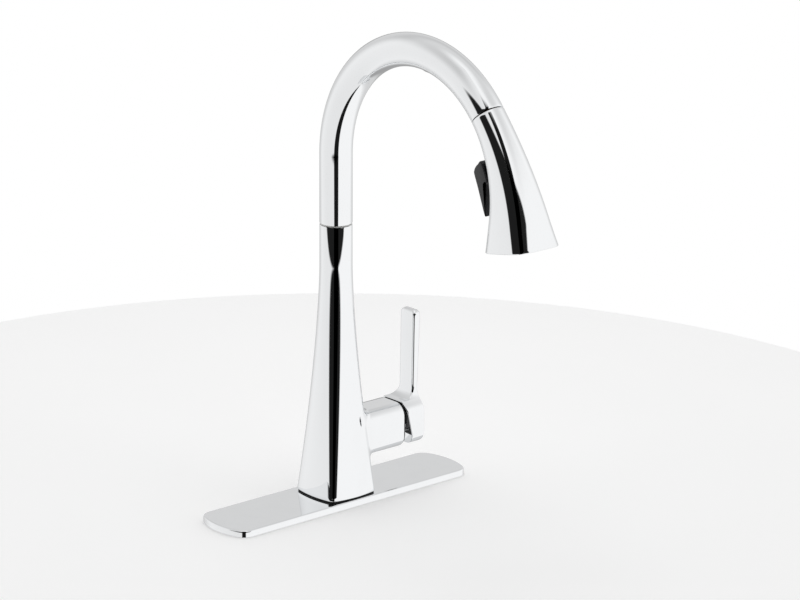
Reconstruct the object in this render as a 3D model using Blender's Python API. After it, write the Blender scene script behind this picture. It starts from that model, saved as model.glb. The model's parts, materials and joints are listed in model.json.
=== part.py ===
"""Pull-down kitchen faucet on a deck plate, built from its separate pieces.

Metres, +Z up. The origin is the middle of the deck plate where it meets the deck.
The handle is on the +X side, and the spout arches forward, towards -Y.
"""

import math

import bmesh
import bpy
import numpy as np

# Clearances between pieces
GAP = 0.0003  # between faces that seat on each other
SLIDE_GAP = 0.0004  # around pieces that turn or slide in a bore

# Deck plate and its gasket
PLATE_LENGTH = 0.2570
PLATE_WIDTH = 0.0587
PLATE_TOP = 0.0060
PLATE_WALL = 0.0016
PLATE_CORNER = 0.0120
PLATE_END_RADIUS = 0.0600  # the gentle arc of the two short ends
PLATE_EDGE = 0.0015  # fillet of the upper edge
PLATE_GASKET = 0.0010
HOLE_EASE = 0.0010  # how much wider than the shank its holes are

# Body
BODY_GASKET = 0.0009
BODY_TOP = 0.2400
BODY_HALF = 0.0272  # half the foot's width at mid-side
BODY_SIDE_RADIUS = 0.0920
BODY_CORNER = 0.0070
BODY_WALL = 0.0030
BODY_FLOOR = 0.0060
BODY_COLUMN = 0.0350  # the plain cylinder at the body's top
TAPER_POWER = 1.5
BODY_SEAL_INSET = 0.0008  # from the body's edge to its gasket's

# Valve boss on the body's side
BOSS_HEIGHT = 0.0545  # height of the valve's axis
BOSS_END = 0.0605
BOSS_CORNER = 0.0110
BOSS_FILLET = 0.0090
BOSS_SIDE_SHARE = 0.3  # of the fillet, at the boss's sides
BOSS_SINK = 0.0006
VALVE_BORE = 0.0160
BOSS_SIDE_WALL = 0.0022
BOSS_TOP_WALL = 0.0035

# Spray hose, water tubes and the threaded shank
HOSE_RADIUS = 0.0056
HOSE_EASE = 0.0007
HOSE_END = -0.0920
HOSE_LEAD = 0.0030  # the hose's straight stretch behind its ferrule
HOSE_EASE_ANGLE = 35.0  # degrees before the spout's end where the hose leaves its middle
TUBE_RADIUS = 0.0032
TUBE_WALL = 0.0008
TUBE_SPREAD = 60.0  # degrees from the outlet tube to each inlet tube
TUBE_END = -0.1180
FITTING_RADIUS = 0.0064
FITTING_LENGTH = 0.0160
SHANK_WALL = 0.0014
SHANK_END = -0.0800
FITTING_STEP = 0.0020  # how much lower the outlet's fitting is than the inlets' ends
BLOCK_RIB = 0.0012  # metal between the hose passage and a tube socket
CONNECTOR_SKIRT = 0.0060  # how far the hose's lower connector covers the hose
CONNECTOR_LENGTH = 0.0100  # how far it goes on below the hose

# Hardware under the deck
DECK_THICKNESS = 0.0300
RUBBER_THICKNESS = 0.0030
RUBBER_RADIUS = 0.0270
STEEL_THICKNESS = 0.0020
STEEL_RADIUS = 0.0262
NUT_STAND_OFF = 0.0045
NUT_HEIGHT = 0.0120
NUT_FLANGE = 0.0040
JACK_RADIUS = 0.0020
JACK_LENGTH = 0.0270
JACK_HEAD = 0.0035
JACK_HEAD_LENGTH = 0.0030
HEX_WALL = 0.0030
JACK_EDGE = 0.0015  # from the shank's bore to where the jack screws' ring starts

# Valve cartridge, along +X
CARTRIDGE_DEPTH = 0.0295  # from the boss's end back to the valve block
SEAL_THICKNESS = 0.0010
BASE_THICKNESS = 0.0034
FIXED_DISC = 0.0030
MOVING_DISC = 0.0032
CARRIER_THICKNESS = 0.0045
DISC_OFFSET = 0.0018  # how far the moving disc rests below the axis when shut
DISC_RIM = 0.0034  # room between moving disc and housing, for its travel
HOUSING_WALL = 0.0021
ROTOR_FLANGE = 0.0013
HOUSING_LID = 0.0015
HOUSING_LOOSE = 0.0006  # between the housing and the valve bore
DISC_LOOSE = 0.0007  # between the fixed disc and the housing
DISC_LAND = 0.0036  # the sealing rim round the moving disc's hollow
DISC_PASSAGE_DEPTH = 0.0012
ROTOR_NECK = 0.0107
ROTOR_PROUD = 0.0010  # past the boss's end
SLOT_SHARE = 0.9  # of the stem's full swing, for the height of the rotor's slot
PORT_RADIUS = 0.0022
INLET_PORT = (0.0080, -0.0050)  # across and above the valve's axis, mirrored for cold
OUTLET_PORT = (0.0, 0.0055)
SOCKET_ROOF = 1.4  # port radii from a port's middle to the top of its tube's socket
NUT_LENGTH = 0.0082
NOTCH_HALF = 0.0020  # half the width of the nut's four spanner notches
NOTCH_DEPTH = 0.0025
PIVOT_DEPTH = 0.0045  # from the boss's end back to where the stem tilts
PIN_RADIUS = 0.0015
PIN_INSET = 0.0007  # from the rotor's neck to the pin's end
STEM_HALF = 0.0040
STEM_COVER = 0.0039  # metal between the stem's end and the handle's end
BALL_ARM = 0.0095
BALL_RADIUS = 0.0022
LIFT_ANGLE = 22.0

# Bonnet and handle
BONNET_GASKET = 0.0011
DOME_RADIUS = 0.0159
DOME_WALL = 0.0012
DOME_OPENING = 0.0108
HANDLE_EASE = 0.0006  # between the dome and the hollow of the handle
BONNET_SEAL_INSET = 0.0008  # from the boss's edge to its gasket's
RIM_GAP_TOP = 0.0020  # from the boss's end to the handle's rim, at the top
RIM_GAP_FOOT = 0.0110  # and at the bottom, where it leaves room for the lift
HANDLE_REACH = 0.0229  # from the boss's end to the handle's end
LEVER_RISE = 0.0965  # from the valve's axis to the lever's tip
LEVER_HALF = 0.0092
LEVER_PROUD = 0.0032  # how far the lever's outer face is past the handle's end
LEVER_THICKNESS = 0.0092
LEVER_LEAN = 0.0010  # how much thinner the lever is at its tip
LEVER_FILLET = 0.0095
LEVER_ROUND = 0.0042
SIDE_FILLET = 0.0060
SOCKET_DEPTH = 0.0135  # how far the stem goes into the handle
GRUB_RADIUS = 0.0020
GRUB_LENGTH = 0.0080
GRUB_INSET = 0.0032  # from the stem's end to the set screw
PLUG_RADIUS = 0.0029
PLUG_THICKNESS = 0.0020

# Spout
SPOUT_RADIUS = 0.0137
SPOUT_WALL = 0.0015
SEAM_WASHER = 0.0006
RISER_LENGTH = 0.0588  # the straight stretch, up to where the arc starts
ARC_RADIUS = 0.1040
ARC_ANGLE = 140.0
GLIDE_ROOM = 0.0014  # between the spout's bore and the hub, for the glide rings
HUB_WALL = 0.0023
HUB_DEPTH = 0.0350  # how far the hub reaches down into the body
HUB_RISE = 0.0338  # and up into the spout
GROOVE_RISE = 0.0148  # from the spout's foot to the middle of the hub's groove
GROOVE_WIDTH = 0.0040
GROOVE_DEPTH = 0.0009
GLIDE_LENGTH = 0.0080
GLIDE_LOW = 0.0018  # from the spout's foot to the lower glide ring
GLIDE_HIGH = 0.0050  # from the hub's top down to the upper one
SET_SCREW_RADIUS = 0.0018
SET_SCREW_TIP = 0.0011  # radius of its dog point
SCREW_INSET = 0.0002  # from the spout's surface
VENT_ANGLE = 97.0
VENT_HALF_LENGTH = 0.0062
VENT_HALF_WIDTH = 0.0030
VENT_PROUD = 0.0006  # past the spout's surface
VENT_LIP = 0.0004  # past the bore

# Dock at the spout's end, and the swivel of the spray head
COLLAR_START = 0.0010  # from the spout's end back to the collar
COLLAR_LENGTH = 0.0100
COLLAR_WALL = 0.0018
COLLAR_ROOM = 0.0012  # between the collar, which is straight, and the curved spout
MAGNET_LENGTH = 0.0040
MAGNET_STEP = 0.0014  # how much larger than the neck the magnet is
NECK_LENGTH = 0.0220
NECK_TOP = 0.0095
NECK_SEAT = 0.0035  # where the nipple's flange rests in the neck
NECK_FLANGE = (-0.0012, -0.0045)
NECK_STEP = 0.0009  # how much thinner the neck is below its flange
DOCK_RING = 0.0012
FERRULE_START = 0.0060
FERRULE_WALL = 0.0011
FERRULE_LENGTH = 0.0140
FERRULE_ROOM = 0.0007  # between the ferrule and the rings round it
NIPPLE_RADIUS = 0.0049
NIPPLE_BORE = 0.0030
NIPPLE_LENGTH = 0.0200
NIPPLE_ROOM = 0.0007
SEAL_PLACE = -0.0070
SEAL_WIDTH = 0.0020
SEAL_DEPTH = 0.0008
SEAL_THICK = 0.00055  # radius of the O-ring's section

# Spray head
HEAD_LENGTH = 0.1094
HEAD_SEAM = 0.0006
HEAD_STRAIGHT = 0.0200  # the outlet end, which isn't curved
HEAD_ANGLE = 169.5
HEAD_HALF = 0.0243
HEAD_SIDE_RADIUS = 0.2000
HEAD_CORNER = 0.0125
HEAD_POWER = 1.79
HEAD_WALL = 0.0020
BARREL_RADIUS = 0.0052
WATERWAY_RADIUS = 0.0032
SPIGOT_LENGTH = 0.0045
BARREL_START = 0.0300
BARREL_END = 0.0560
BELL_START = 0.0454  # from the outlet back to where the core starts to fill the head
BELL_SHOULDER = 0.0294
CORE_GAP = 0.0005
FACE_RECESS = 0.0016
FACE_THICKNESS = 0.0060
MAT_THICKNESS = 0.0032
NOZZLE_RADIUS = 0.0009
NOZZLE_PROUD = 0.0008
NOZZLE_TAPER = 0.7  # of the radius, at the tip
NOZZLE_RINGS = ((0.0131, 8), (0.0180, 14))  # radius and number of nozzles
AERATOR_RADIUS = 0.0089
AERATOR_WALL = 0.0016
AERATOR_LENGTH = 0.0175
AERATOR_ROOM = 0.0015  # behind it, in the core
AERATOR_PROUD = 0.0008  # past the face
SCREEN_PLACE = 0.0040
SCREEN_THICKNESS = 0.0015
SCREEN_HOLE = 0.0011
SCREEN_CIRCLE = 0.0040

# Spray trigger: places are along the head's centreline, and out from the spout's radius
PIVOT_ALONG = 0.0378
PIVOT_OUT = -0.0059
TRIGGER_HALF = 0.0080
ROOT_HALF = 0.0058
TRIGGER_PIN = 0.0011
LUG_HALF = 0.0030
LUG_WALL = 0.0020
LUG_RISE = 0.0018  # above the pin's middle
PLUNGER_ALONG = 0.0460
PLUNGER_RADIUS = 0.0012
PLUNGER_FOOT = 0.0018
PLUNGER_HEAD = 0.0026
PLUNGER_HEAD_LENGTH = 0.0012
SPRING_WIRE = 0.00025
SPRING_ROOM = 0.0009
SPRING_TURNS = 3
WINDOW_START, WINDOW_END = 0.0336, 0.0520
WINDOW_ROOM = 0.0006
BLADE_OUTLINE = (
    (0.0326, 0.0058), (0.0328, 0.0108), (0.0343, 0.0145), (0.0366, 0.0169), (0.0396, 0.0181),
    (0.0540, 0.0184), (0.0700, 0.0180), (0.0780, 0.0173), (0.0812, 0.0166), (0.0818, 0.0159),
    (0.0806, 0.0152), (0.0740, 0.0143), (0.0620, 0.0125), (0.0532, 0.0107), (0.0510, 0.0087),
    (0.0505, 0.0058),
)
ROOT_PAD = -0.0039  # the root's face over the plunger
ROOT_OUTLINE = (
    (0.0355, 0.0078), (0.0355, -0.0032), (0.0357, -0.0065), (0.0368, -0.0078),
    (0.0388, -0.0078), (0.0399, -0.0065), (0.0404, ROOT_PAD), (0.0495, ROOT_PAD),
    (0.0495, 0.0078),
)

# Sizes that follow from the ones above
BODY_FOOT = PLATE_TOP + BODY_GASKET + 2 * GAP
TAPER_TOP = BODY_TOP - BODY_COLUMN
BOSS_HALF_Y = VALVE_BORE + BOSS_SIDE_WALL
BOSS_HALF_Z = VALVE_BORE + BOSS_TOP_WALL
HOSE_PASSAGE = HOSE_RADIUS + HOSE_EASE
TUBE_CIRCLE = HOSE_PASSAGE + BLOCK_RIB + GAP + TUBE_RADIUS
SHANK_BORE = TUBE_CIRCLE + TUBE_RADIUS + SLIDE_GAP
SHANK_RADIUS = SHANK_BORE + SHANK_WALL
DECK_HOLE = SHANK_RADIUS + HOLE_EASE
OUTLET_END = TUBE_END - FITTING_LENGTH - FITTING_STEP
SPOUT_BORE = SPOUT_RADIUS - SPOUT_WALL
SPOUT_FOOT = BODY_TOP + 2 * GAP + SEAM_WASHER
RISER_TOP = SPOUT_FOOT + RISER_LENGTH
HUB_RADIUS = SPOUT_BORE - GLIDE_ROOM
HUB_BORE = HUB_RADIUS - HUB_WALL
HUB_FOOT = BODY_TOP - HUB_DEPTH
HUB_TOP = SPOUT_FOOT + HUB_RISE
GROOVE_PLACE = SPOUT_FOOT + GROOVE_RISE
GROOVE_RADIUS = HUB_RADIUS - GROOVE_DEPTH
BODY_BORE = HUB_RADIUS + GAP
NECK_RADIUS = SPOUT_BORE - COLLAR_ROOM - COLLAR_WALL - SLIDE_GAP
FERRULE_RADIUS = HOSE_RADIUS + GAP + FERRULE_WALL
NECK_RECESS = FERRULE_RADIUS + SLIDE_GAP
BLOCK_RADIUS = VALVE_BORE - SLIDE_GAP
HOUSING_RADIUS = VALVE_BORE - HOUSING_LOOSE
HOUSING_BORE = HOUSING_RADIUS - HOUSING_WALL
DISC_RADIUS = HOUSING_BORE - DISC_LOOSE
MOVING_RADIUS = HOUSING_BORE - DISC_RIM
BLOCK_END = BOSS_END - CARTRIDGE_DEPTH
SEAL_START = BLOCK_END + GAP
BASE_START = SEAL_START + SEAL_THICKNESS + GAP
FIXED_START = BASE_START + BASE_THICKNESS + GAP
MOVING_START = FIXED_START + FIXED_DISC + GAP
CARRIER_START = MOVING_START + MOVING_DISC + GAP
ROTOR_START = CARRIER_START + CARRIER_THICKNESS + GAP
LID_START = ROTOR_START + ROTOR_FLANGE + GAP
VALVE_NUT_START = LID_START + HOUSING_LID + GAP
VALVE_NUT_END = VALVE_NUT_START + NUT_LENGTH
ROTOR_END = BOSS_END + ROTOR_PROUD
PIVOT = BOSS_END - PIVOT_DEPTH
DOME_START = BOSS_END + 2 * GAP + BONNET_GASKET
HANDLE_END = BOSS_END + HANDLE_REACH
LEVER_TOP = BOSS_HEIGHT + LEVER_RISE
LEVER_OUTER = HANDLE_END + LEVER_PROUD
LEVER_INNER = LEVER_OUTER - LEVER_THICKNESS
STEM_END = HANDLE_END - STEM_COVER
GRUB_PLACE = STEM_END - GRUB_INSET
FACE_END = HEAD_LENGTH - FACE_RECESS
FACE_START = FACE_END - FACE_THICKNESS
MAT_END = FACE_START - GAP
MAT_START = MAT_END - MAT_THICKNESS

STEPS = 20  # sides of a large turned piece
FEW_STEPS = 14  # sides of a small one
FINE_STEPS = 10  # sides of a screw or a narrow hole
NOZZLE_STEPS = 5  # sides of a nozzle
OUTSIDE = 0.0050  # how far a cutter reaches past what it cuts

FINISHES = {
    "chrome": ((0.86, 0.87, 0.88), 0.06, 1.0),
    "brass": ((0.78, 0.60, 0.30), 0.30, 1.0),
    "steel": ((0.62, 0.63, 0.64), 0.30, 1.0),
    "magnet_black": ((0.10, 0.10, 0.11), 0.45, 0.6),
    "black_plastic": ((0.025, 0.025, 0.028), 0.40, 0.0),
    "gloss_black": ((0.012, 0.012, 0.014), 0.12, 0.0),
    "grey_plastic": ((0.42, 0.43, 0.44), 0.45, 0.0),
    "white_plastic": ((0.80, 0.80, 0.78), 0.45, 0.0),
    "black_rubber": ((0.03, 0.03, 0.03), 0.80, 0.0),
    "grey_silicone": ((0.25, 0.26, 0.27), 0.60, 0.0),
    "ceramic": ((0.88, 0.86, 0.82), 0.25, 0.0),
    "braid": ((0.34, 0.35, 0.36), 0.55, 0.0),
}


# Making objects and meshes


def finish_material(name):
    """The Principled material of one finish, made once."""
    found = bpy.data.materials.get(name)
    if found:
        return found
    colour, roughness, metallic = FINISHES[name]
    made = bpy.data.materials.new(name)
    made.use_nodes = True
    shader = made.node_tree.nodes["Principled BSDF"]
    shader.inputs["Base Color"].default_value = (*colour, 1.0)
    shader.inputs["Roughness"].default_value = roughness
    shader.inputs["Metallic"].default_value = metallic
    return made


def add(name, shape, finish, parent=None):
    """A named object of a bmesh given in world places, under a parent empty if it moves."""
    mesh = bpy.data.meshes.new(name)
    if parent:
        bmesh.ops.translate(shape, verts=shape.verts, vec=-parent.location)
    shape.to_mesh(mesh)
    shape.free()
    mesh.shade_smooth()
    mesh.set_sharp_from_angle(angle=math.radians(35))
    mesh.materials.append(finish_material(finish))
    made = bpy.data.objects.new(name, mesh)
    bpy.context.collection.objects.link(made)
    made.parent = parent
    return made


def pivot(name, place, parent=None):
    """An empty on a joint's axis. Its children move about it."""
    made = bpy.data.objects.new(name, None)
    bpy.context.collection.objects.link(made)
    made.empty_display_size = 0.01
    made.location = place
    if parent:
        made.parent = parent
        made.matrix_parent_inverse.translation = -parent.location
    return made


def combine(target, shape, operation, label):
    """Cuts, joins or crops the target with a shape, which stays as a wire guide."""
    guide = add(f"{target.name}_{label}", shape, "grey_plastic")
    guide.display_type = "WIRE"
    guide.hide_render = True
    boolean = target.modifiers.new(label, "BOOLEAN")
    boolean.operation = operation
    boolean.solver = "EXACT"
    boolean.object = guide


def cut(target, shape, label):
    combine(target, shape, "DIFFERENCE", label)


def join(target, shape, label):
    combine(target, shape, "UNION", label)


def loft(rings, closed=False):
    """A skin over rings of equally many points. An open one gets flat ends; a closed one
    runs round from its last ring to its first, as the wall of a tube does."""
    shape = bmesh.new()
    loops = [[shape.verts.new(point) for point in ring] for ring in rings]
    following = loops[1:] + (loops[:1] if closed else [])
    for low, high in zip(loops, following):
        for i, corner in enumerate(low):
            shape.faces.new((corner, low[i - 1], high[i - 1], high[i]))
    if not closed:
        shape.faces.new(loops[0])
        shape.faces.new(loops[-1])
    bmesh.ops.recalc_face_normals(shape, faces=shape.faces)
    return shape


def merged(shapes):
    """Several separate shapes as one bmesh, for cutting a pattern of holes at once."""
    whole = bmesh.new()
    for shape in shapes:
        scratch = bpy.data.meshes.new("scratch")
        shape.to_mesh(scratch)
        shape.free()
        whole.from_mesh(scratch)
        bpy.data.meshes.remove(scratch)
    return whole


# Planes that sections are drawn on, and the sections


class Plane:
    """A drawing plane: its middle, two directions across, and the way it faces."""

    def __init__(self, middle, across, up):
        self.middle = np.array(middle, float)
        self.across = np.array(across, float)
        self.up = np.array(up, float)
        self.facing = np.cross(self.across, self.up)

    def ring(self, section, ahead=0.0):
        """The section's points in the world, on this plane or ahead of it."""
        section = np.asarray(section)
        flat = section[:, :1] * self.across + section[:, 1:] * self.up
        return self.middle + ahead * self.facing + flat

    def point(self, across, up, ahead=0.0):
        return self.ring([(across, up)], ahead)[0]

    def moved(self, across, up):
        """The same plane with its middle moved within it."""
        return Plane(self.point(across, up), self.across, self.up)


def level(height, x=0.0, y=0.0):
    """A level plane that faces up."""
    return Plane((x, y, height), (1, 0, 0), (0, 1, 0))


def valve_plane(x):
    """A plane square to the valve's axis, facing +X."""
    return Plane((x, 0, BOSS_HEIGHT), (0, 1, 0), (0, 0, 1))


def bend_plane(place, degrees):
    """A plane square to a pipe in the YZ plane that has turned so far from straight up.
    Its up direction points to the inside of the bend, and it faces back up the pipe."""
    turn = math.radians(degrees)
    return Plane(place, (1, 0, 0), (0, -math.cos(turn), -math.sin(turn)))


def circle(radius, steps=STEPS):
    angle = np.arange(steps) * 2 * math.pi / steps
    return radius * np.column_stack((np.cos(angle), np.sin(angle)))


def rounded_rectangle(half_across, half_up, corner, steps=4):
    """A rectangle whose four corners are arcs of so many steps."""
    points = []
    for quarter in range(4):
        angle = math.pi / 2 * (quarter + np.arange(steps + 1) / steps)
        side = (1 if quarter in (0, 3) else -1, 1 if quarter < 2 else -1)
        points.append(np.column_stack((
            side[0] * (half_across - corner) + corner * np.cos(angle),
            side[1] * (half_up - corner) + corner * np.sin(angle),
        )))
    return np.vstack(points)


def swollen_limit(middle, side_radius, corner):
    """The corner arc's centre, and the direction at which a side meets its corner."""
    side_centre = middle - side_radius
    reach = side_radius - corner
    centre = (side_centre + math.sqrt(2 * reach**2 - side_centre**2)) / 2
    return centre, math.asin(centre / reach)


def section_directions(limit, side_steps, corner_steps):
    """Outward directions all round a swollen square, spaced along its sides and corners."""
    side = np.linspace(-limit, limit, side_steps + 1)
    corner = np.linspace(limit, math.pi / 2 - limit, corner_steps + 1)[1:-1]
    quarter = np.concatenate((side, corner))
    return np.concatenate([quarter + k * math.pi / 2 for k in range(4)])


def swollen_square(direction, middle, side_radius, corner):
    """Points of a square with arched sides and round corners, one for each direction."""
    quarter = np.round(direction / (math.pi / 2))
    turn = quarter * math.pi / 2
    local = direction - turn
    centre, limit = swollen_limit(middle, side_radius, corner)
    on_side = np.abs(local) <= limit + 1e-9
    x = np.where(on_side, middle - side_radius + side_radius * np.cos(local),
                 centre + corner * np.cos(local))
    y = np.where(on_side, side_radius * np.sin(local),
                 np.sign(local) * centre + corner * np.sin(local))
    return np.column_stack((x * np.cos(turn) - y * np.sin(turn),
                            x * np.sin(turn) + y * np.cos(turn)))


def grown_square(direction, share, radius, middle, side_radius, corner, inset=0.0):
    """A circle that has grown a share of the way into a swollen square, less an inset.
    Both are taken at the same outward directions, so the inset is an even wall."""
    way_out = np.column_stack((np.cos(direction), np.sin(direction)))
    square = swollen_square(direction, middle, side_radius, corner)
    return (1 - share) * radius * way_out + share * square - inset * way_out


def turned(plane, profile, steps=STEPS, closed=False):
    """A turned piece: the profile is (distance ahead of the plane, radius) pairs."""
    rings = [plane.ring(circle(radius, steps), ahead) for ahead, radius in profile]
    return loft(rings, closed)


def tube(plane, start, end, outer, inner, steps=STEPS):
    """A straight round tube or washer."""
    profile = ((start, outer), (end, outer), (end, inner), (start, inner))
    return turned(plane, profile, steps, closed=True)


def rod(plane, start, end, radius, steps=STEPS):
    return turned(plane, ((start, radius), (end, radius)), steps)


def prism(plane, outline, start, end):
    return loft([plane.ring(outline, start), plane.ring(outline, end)])


def box(plane, half_across, half_up, start, end):
    corners = [(half_across, half_up), (-half_across, half_up),
               (-half_across, -half_up), (half_across, -half_up)]
    return prism(plane, corners, start, end)


# Deck plate


def plate_outline(inset=0.0):
    """The plate seen from above: straight long sides, arched ends, round corners."""
    end_radius = PLATE_END_RADIUS - inset
    corner = PLATE_CORNER - inset
    reach = end_radius - corner
    limit = math.asin((PLATE_WIDTH / 2 - PLATE_CORNER) / reach)
    end_centre = PLATE_LENGTH / 2 - PLATE_END_RADIUS
    end = np.linspace(-limit, limit, 7)
    turn = np.linspace(limit, math.pi / 2, 5)[1:]
    arch = np.column_stack((end_centre + end_radius * np.cos(end), end_radius * np.sin(end)))
    upper = np.column_stack((end_centre + reach * math.cos(limit) + corner * np.cos(turn),
                             reach * math.sin(limit) + corner * np.sin(turn)))
    lower = upper[::-1] * (1, -1)
    right = np.vstack((lower, arch, upper))
    return np.vstack((right, -right))


def build_plate():
    ground = level(0)
    gasket = add("deck_gasket", prism(ground, plate_outline(PLATE_WALL + GAP), 0,
                                      PLATE_GASKET), "black_rubber")
    ceiling = PLATE_TOP - PLATE_WALL
    base = add("deck_plate_base", prism(ground, plate_outline(PLATE_WALL + GAP),
                                        PLATE_GASKET + GAP, ceiling - GAP), "grey_plastic")
    rings = [ground.ring(plate_outline(), GAP)]
    for turn in np.radians((0, 30, 60, 90)):
        inset = PLATE_EDGE * (1 - math.cos(turn))
        height = PLATE_TOP - PLATE_EDGE * (1 - math.sin(turn))
        rings.append(ground.ring(plate_outline(inset), height))
    cover = add("deck_plate", loft(rings), "chrome")
    cut(cover, prism(ground, plate_outline(PLATE_WALL), -PLATE_TOP, ceiling), "hollow")
    for piece in (gasket, base, cover):
        cut(piece, rod(ground, -PLATE_TOP, 2 * PLATE_TOP, DECK_HOLE), "shank_hole")


# Body with its valve boss


def body_share(height):
    """How far the body's section has grown from the top's circle to the square foot."""
    depth = np.clip((TAPER_TOP - height) / (TAPER_TOP - BODY_FOOT), 0, 1)
    return depth**TAPER_POWER


BODY_DIRECTIONS = section_directions(
    swollen_limit(BODY_HALF, BODY_SIDE_RADIUS, BODY_CORNER)[1], 2, 4)


def body_section(height, inset=0.0):
    return grown_square(BODY_DIRECTIONS, body_share(height), SPOUT_RADIUS, BODY_HALF,
                        BODY_SIDE_RADIUS, BODY_CORNER, inset)


def body_face(across, height, inset=0.0):
    """How far out the body's +X side is, at a place across and a height."""
    section = body_section(height, inset)
    front = section[np.abs(np.arctan2(section[:, 1], section[:, 0])) < math.pi / 2]
    front = front[np.argsort(front[:, 1])]
    return float(np.interp(across, front[:, 1], front[:, 0]))


def block_start():
    """Where the valve bore ends, at the body's far wall."""
    return -min(body_face(y, BOSS_HEIGHT + z, BODY_WALL) for y, z in circle(BLOCK_RADIUS))


def boss_outline(inset=0.0):
    return rounded_rectangle(BOSS_HALF_Y - inset, BOSS_HALF_Z - inset, BOSS_CORNER - inset)


def build_boss():
    """The boss from inside the body to its end, with a cove where it leaves the body.
    The cove is a quarter arc, wide above and below and shallow at the sides, and its
    first ring is sunk a little under the body's surface."""
    outline = boss_outline()
    inner = rounded_rectangle(BOSS_HALF_Y - BOSS_CORNER, BOSS_HALF_Z - BOSS_CORNER, 0)
    way_out = (outline - inner) / BOSS_CORNER
    cove = BOSS_FILLET * (BOSS_SIDE_SHARE + (1 - BOSS_SIDE_SHARE) * np.abs(way_out[:, 1:]))
    rings = [valve_plane(BODY_HALF / 2).ring(outline)]
    for turn in np.radians((0, 30, 60, 90)):
        section = outline + way_out * cove * (1 - math.sin(turn))
        rise = cove[:, 0] * (1 - math.cos(turn))
        ring = valve_plane(0).ring(section)
        ring[:, 0] = rise + [body_face(y, BOSS_HEIGHT + z) for y, z in section]
        rings.append(ring)
    rings[1][:, 0] -= BOSS_SINK
    rings.append(valve_plane(BOSS_END).ring(outline))
    return loft(rings)


def build_body():
    ground = level(0)
    seat = PLATE_TOP + GAP
    gasket = add("body_gasket", prism(ground, body_section(BODY_FOOT, BODY_SEAL_INSET), seat,
                                      seat + BODY_GASKET), "black_rubber")
    cut(gasket, rod(ground, 0, 2 * BODY_FOOT, DECK_HOLE), "shank_hole")
    heights = [*np.linspace(BODY_FOOT, TAPER_TOP, 9), BODY_TOP]
    body = add("body_shell", loft([ground.ring(body_section(h), h) for h in heights]),
               "chrome")
    join(body, build_boss(), "boss")
    floor = BODY_FOOT + BODY_FLOOR
    cavity = np.linspace(floor, TAPER_TOP - OUTSIDE, 6)
    cut(body, loft([ground.ring(body_section(h, BODY_WALL), h) for h in cavity]), "cavity")
    cut(body, rod(ground, HUB_FOOT - BODY_COLUMN, BODY_TOP + OUTSIDE, BODY_BORE), "neck_bore")
    cut(body, rod(ground, 0, floor + OUTSIDE, SHANK_RADIUS + GAP), "shank_hole")
    cut(body, rod(valve_plane(0), block_start(), BOSS_END + OUTSIDE, VALVE_BORE), "valve_bore")


# Water tubes, shank and the hardware under the deck


def tube_places():
    """Where the outlet, hot and cold tubes stand, round the hose."""
    places = {}
    for name, degrees in (("outlet", 0), ("hot", TUBE_SPREAD), ("cold", -TUBE_SPREAD)):
        turn = math.radians(degrees)
        places[name] = (TUBE_CIRCLE * math.cos(turn), TUBE_CIRCLE * math.sin(turn))
    return places


def port_places():
    """The valve's ports, across and above its axis."""
    across, above = INLET_PORT
    return {"outlet": OUTLET_PORT, "hot": (across, above), "cold": (-across, above)}


def build_valve_block():
    """The brass block across the body: the hose passes through it, and each tube's
    socket meets the port that leads to the cartridge."""
    top = BOSS_HEIGHT + BLOCK_RADIUS
    block = add("valve_block", rod(valve_plane(0), block_start() + SLIDE_GAP, BLOCK_END,
                                   BLOCK_RADIUS), "brass")
    holes = [rod(level(0), 0, 2 * top, HOSE_PASSAGE)]
    for name, (x, y) in tube_places().items():
        across, above = port_places()[name]
        roof = BOSS_HEIGHT + above + SOCKET_ROOF * PORT_RADIUS
        holes.append(rod(level(0, x, y), 0, roof, TUBE_RADIUS + GAP, FEW_STEPS))
    cut(block, merged(holes), "sockets")
    ports = []
    for name, (x, y) in tube_places().items():
        across, above = port_places()[name]
        plane = valve_plane(0).moved(across, above)
        ports.append(rod(plane, x, BLOCK_END + OUTSIDE, PORT_RADIUS, FINE_STEPS))
    cut(block, merged(ports), "ports")


def build_fitting(name, plane, low):
    """A compression nut on a tube's end: a round nut with a thinner nose below it."""
    nose, head = low - 0.4 * FITTING_LENGTH, low + 0.6 * FITTING_LENGTH
    nose_radius, bore = 0.86 * FITTING_RADIUS, TUBE_RADIUS + GAP
    profile = ((nose, nose_radius), (low, nose_radius), (low, FITTING_RADIUS),
               (head, FITTING_RADIUS), (head, bore), (low - GAP, bore),
               (low - GAP, TUBE_RADIUS - TUBE_WALL), (nose, TUBE_RADIUS - TUBE_WALL))
    add(name, turned(plane, profile, FEW_STEPS, closed=True), "brass")


def build_plumbing():
    add("shank", tube(level(0), SHANK_END, BODY_FOOT + BODY_FLOOR - GAP, SHANK_RADIUS,
                      SHANK_BORE), "brass")
    for name, (x, y) in tube_places().items():
        top = BOSS_HEIGHT + port_places()[name][1] - PORT_RADIUS
        low = OUTLET_END if name == "outlet" else TUBE_END
        stem = "outlet" if name == "outlet" else f"{name}_inlet"
        plane = level(0, x, y)
        add(f"{stem}_tube", tube(plane, low, top, TUBE_RADIUS, TUBE_RADIUS - TUBE_WALL,
                                 FINE_STEPS), "brass")
        build_fitting(f"{stem}_fitting", plane, low)
    skirt, nose = HOSE_END + CONNECTOR_SKIRT, HOSE_END - CONNECTOR_LENGTH
    bore = HOSE_RADIUS / 2
    profile = ((nose, HOSE_RADIUS), (HOSE_END, HOSE_RADIUS), (HOSE_END, HOSE_PASSAGE),
               (skirt, HOSE_PASSAGE), (skirt, HOSE_RADIUS + GAP),
               (HOSE_END - GAP, HOSE_RADIUS + GAP), (HOSE_END - GAP, bore), (nose, bore))
    add("hose_lower_connector", turned(level(0), profile, FEW_STEPS, closed=True), "brass")


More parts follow.
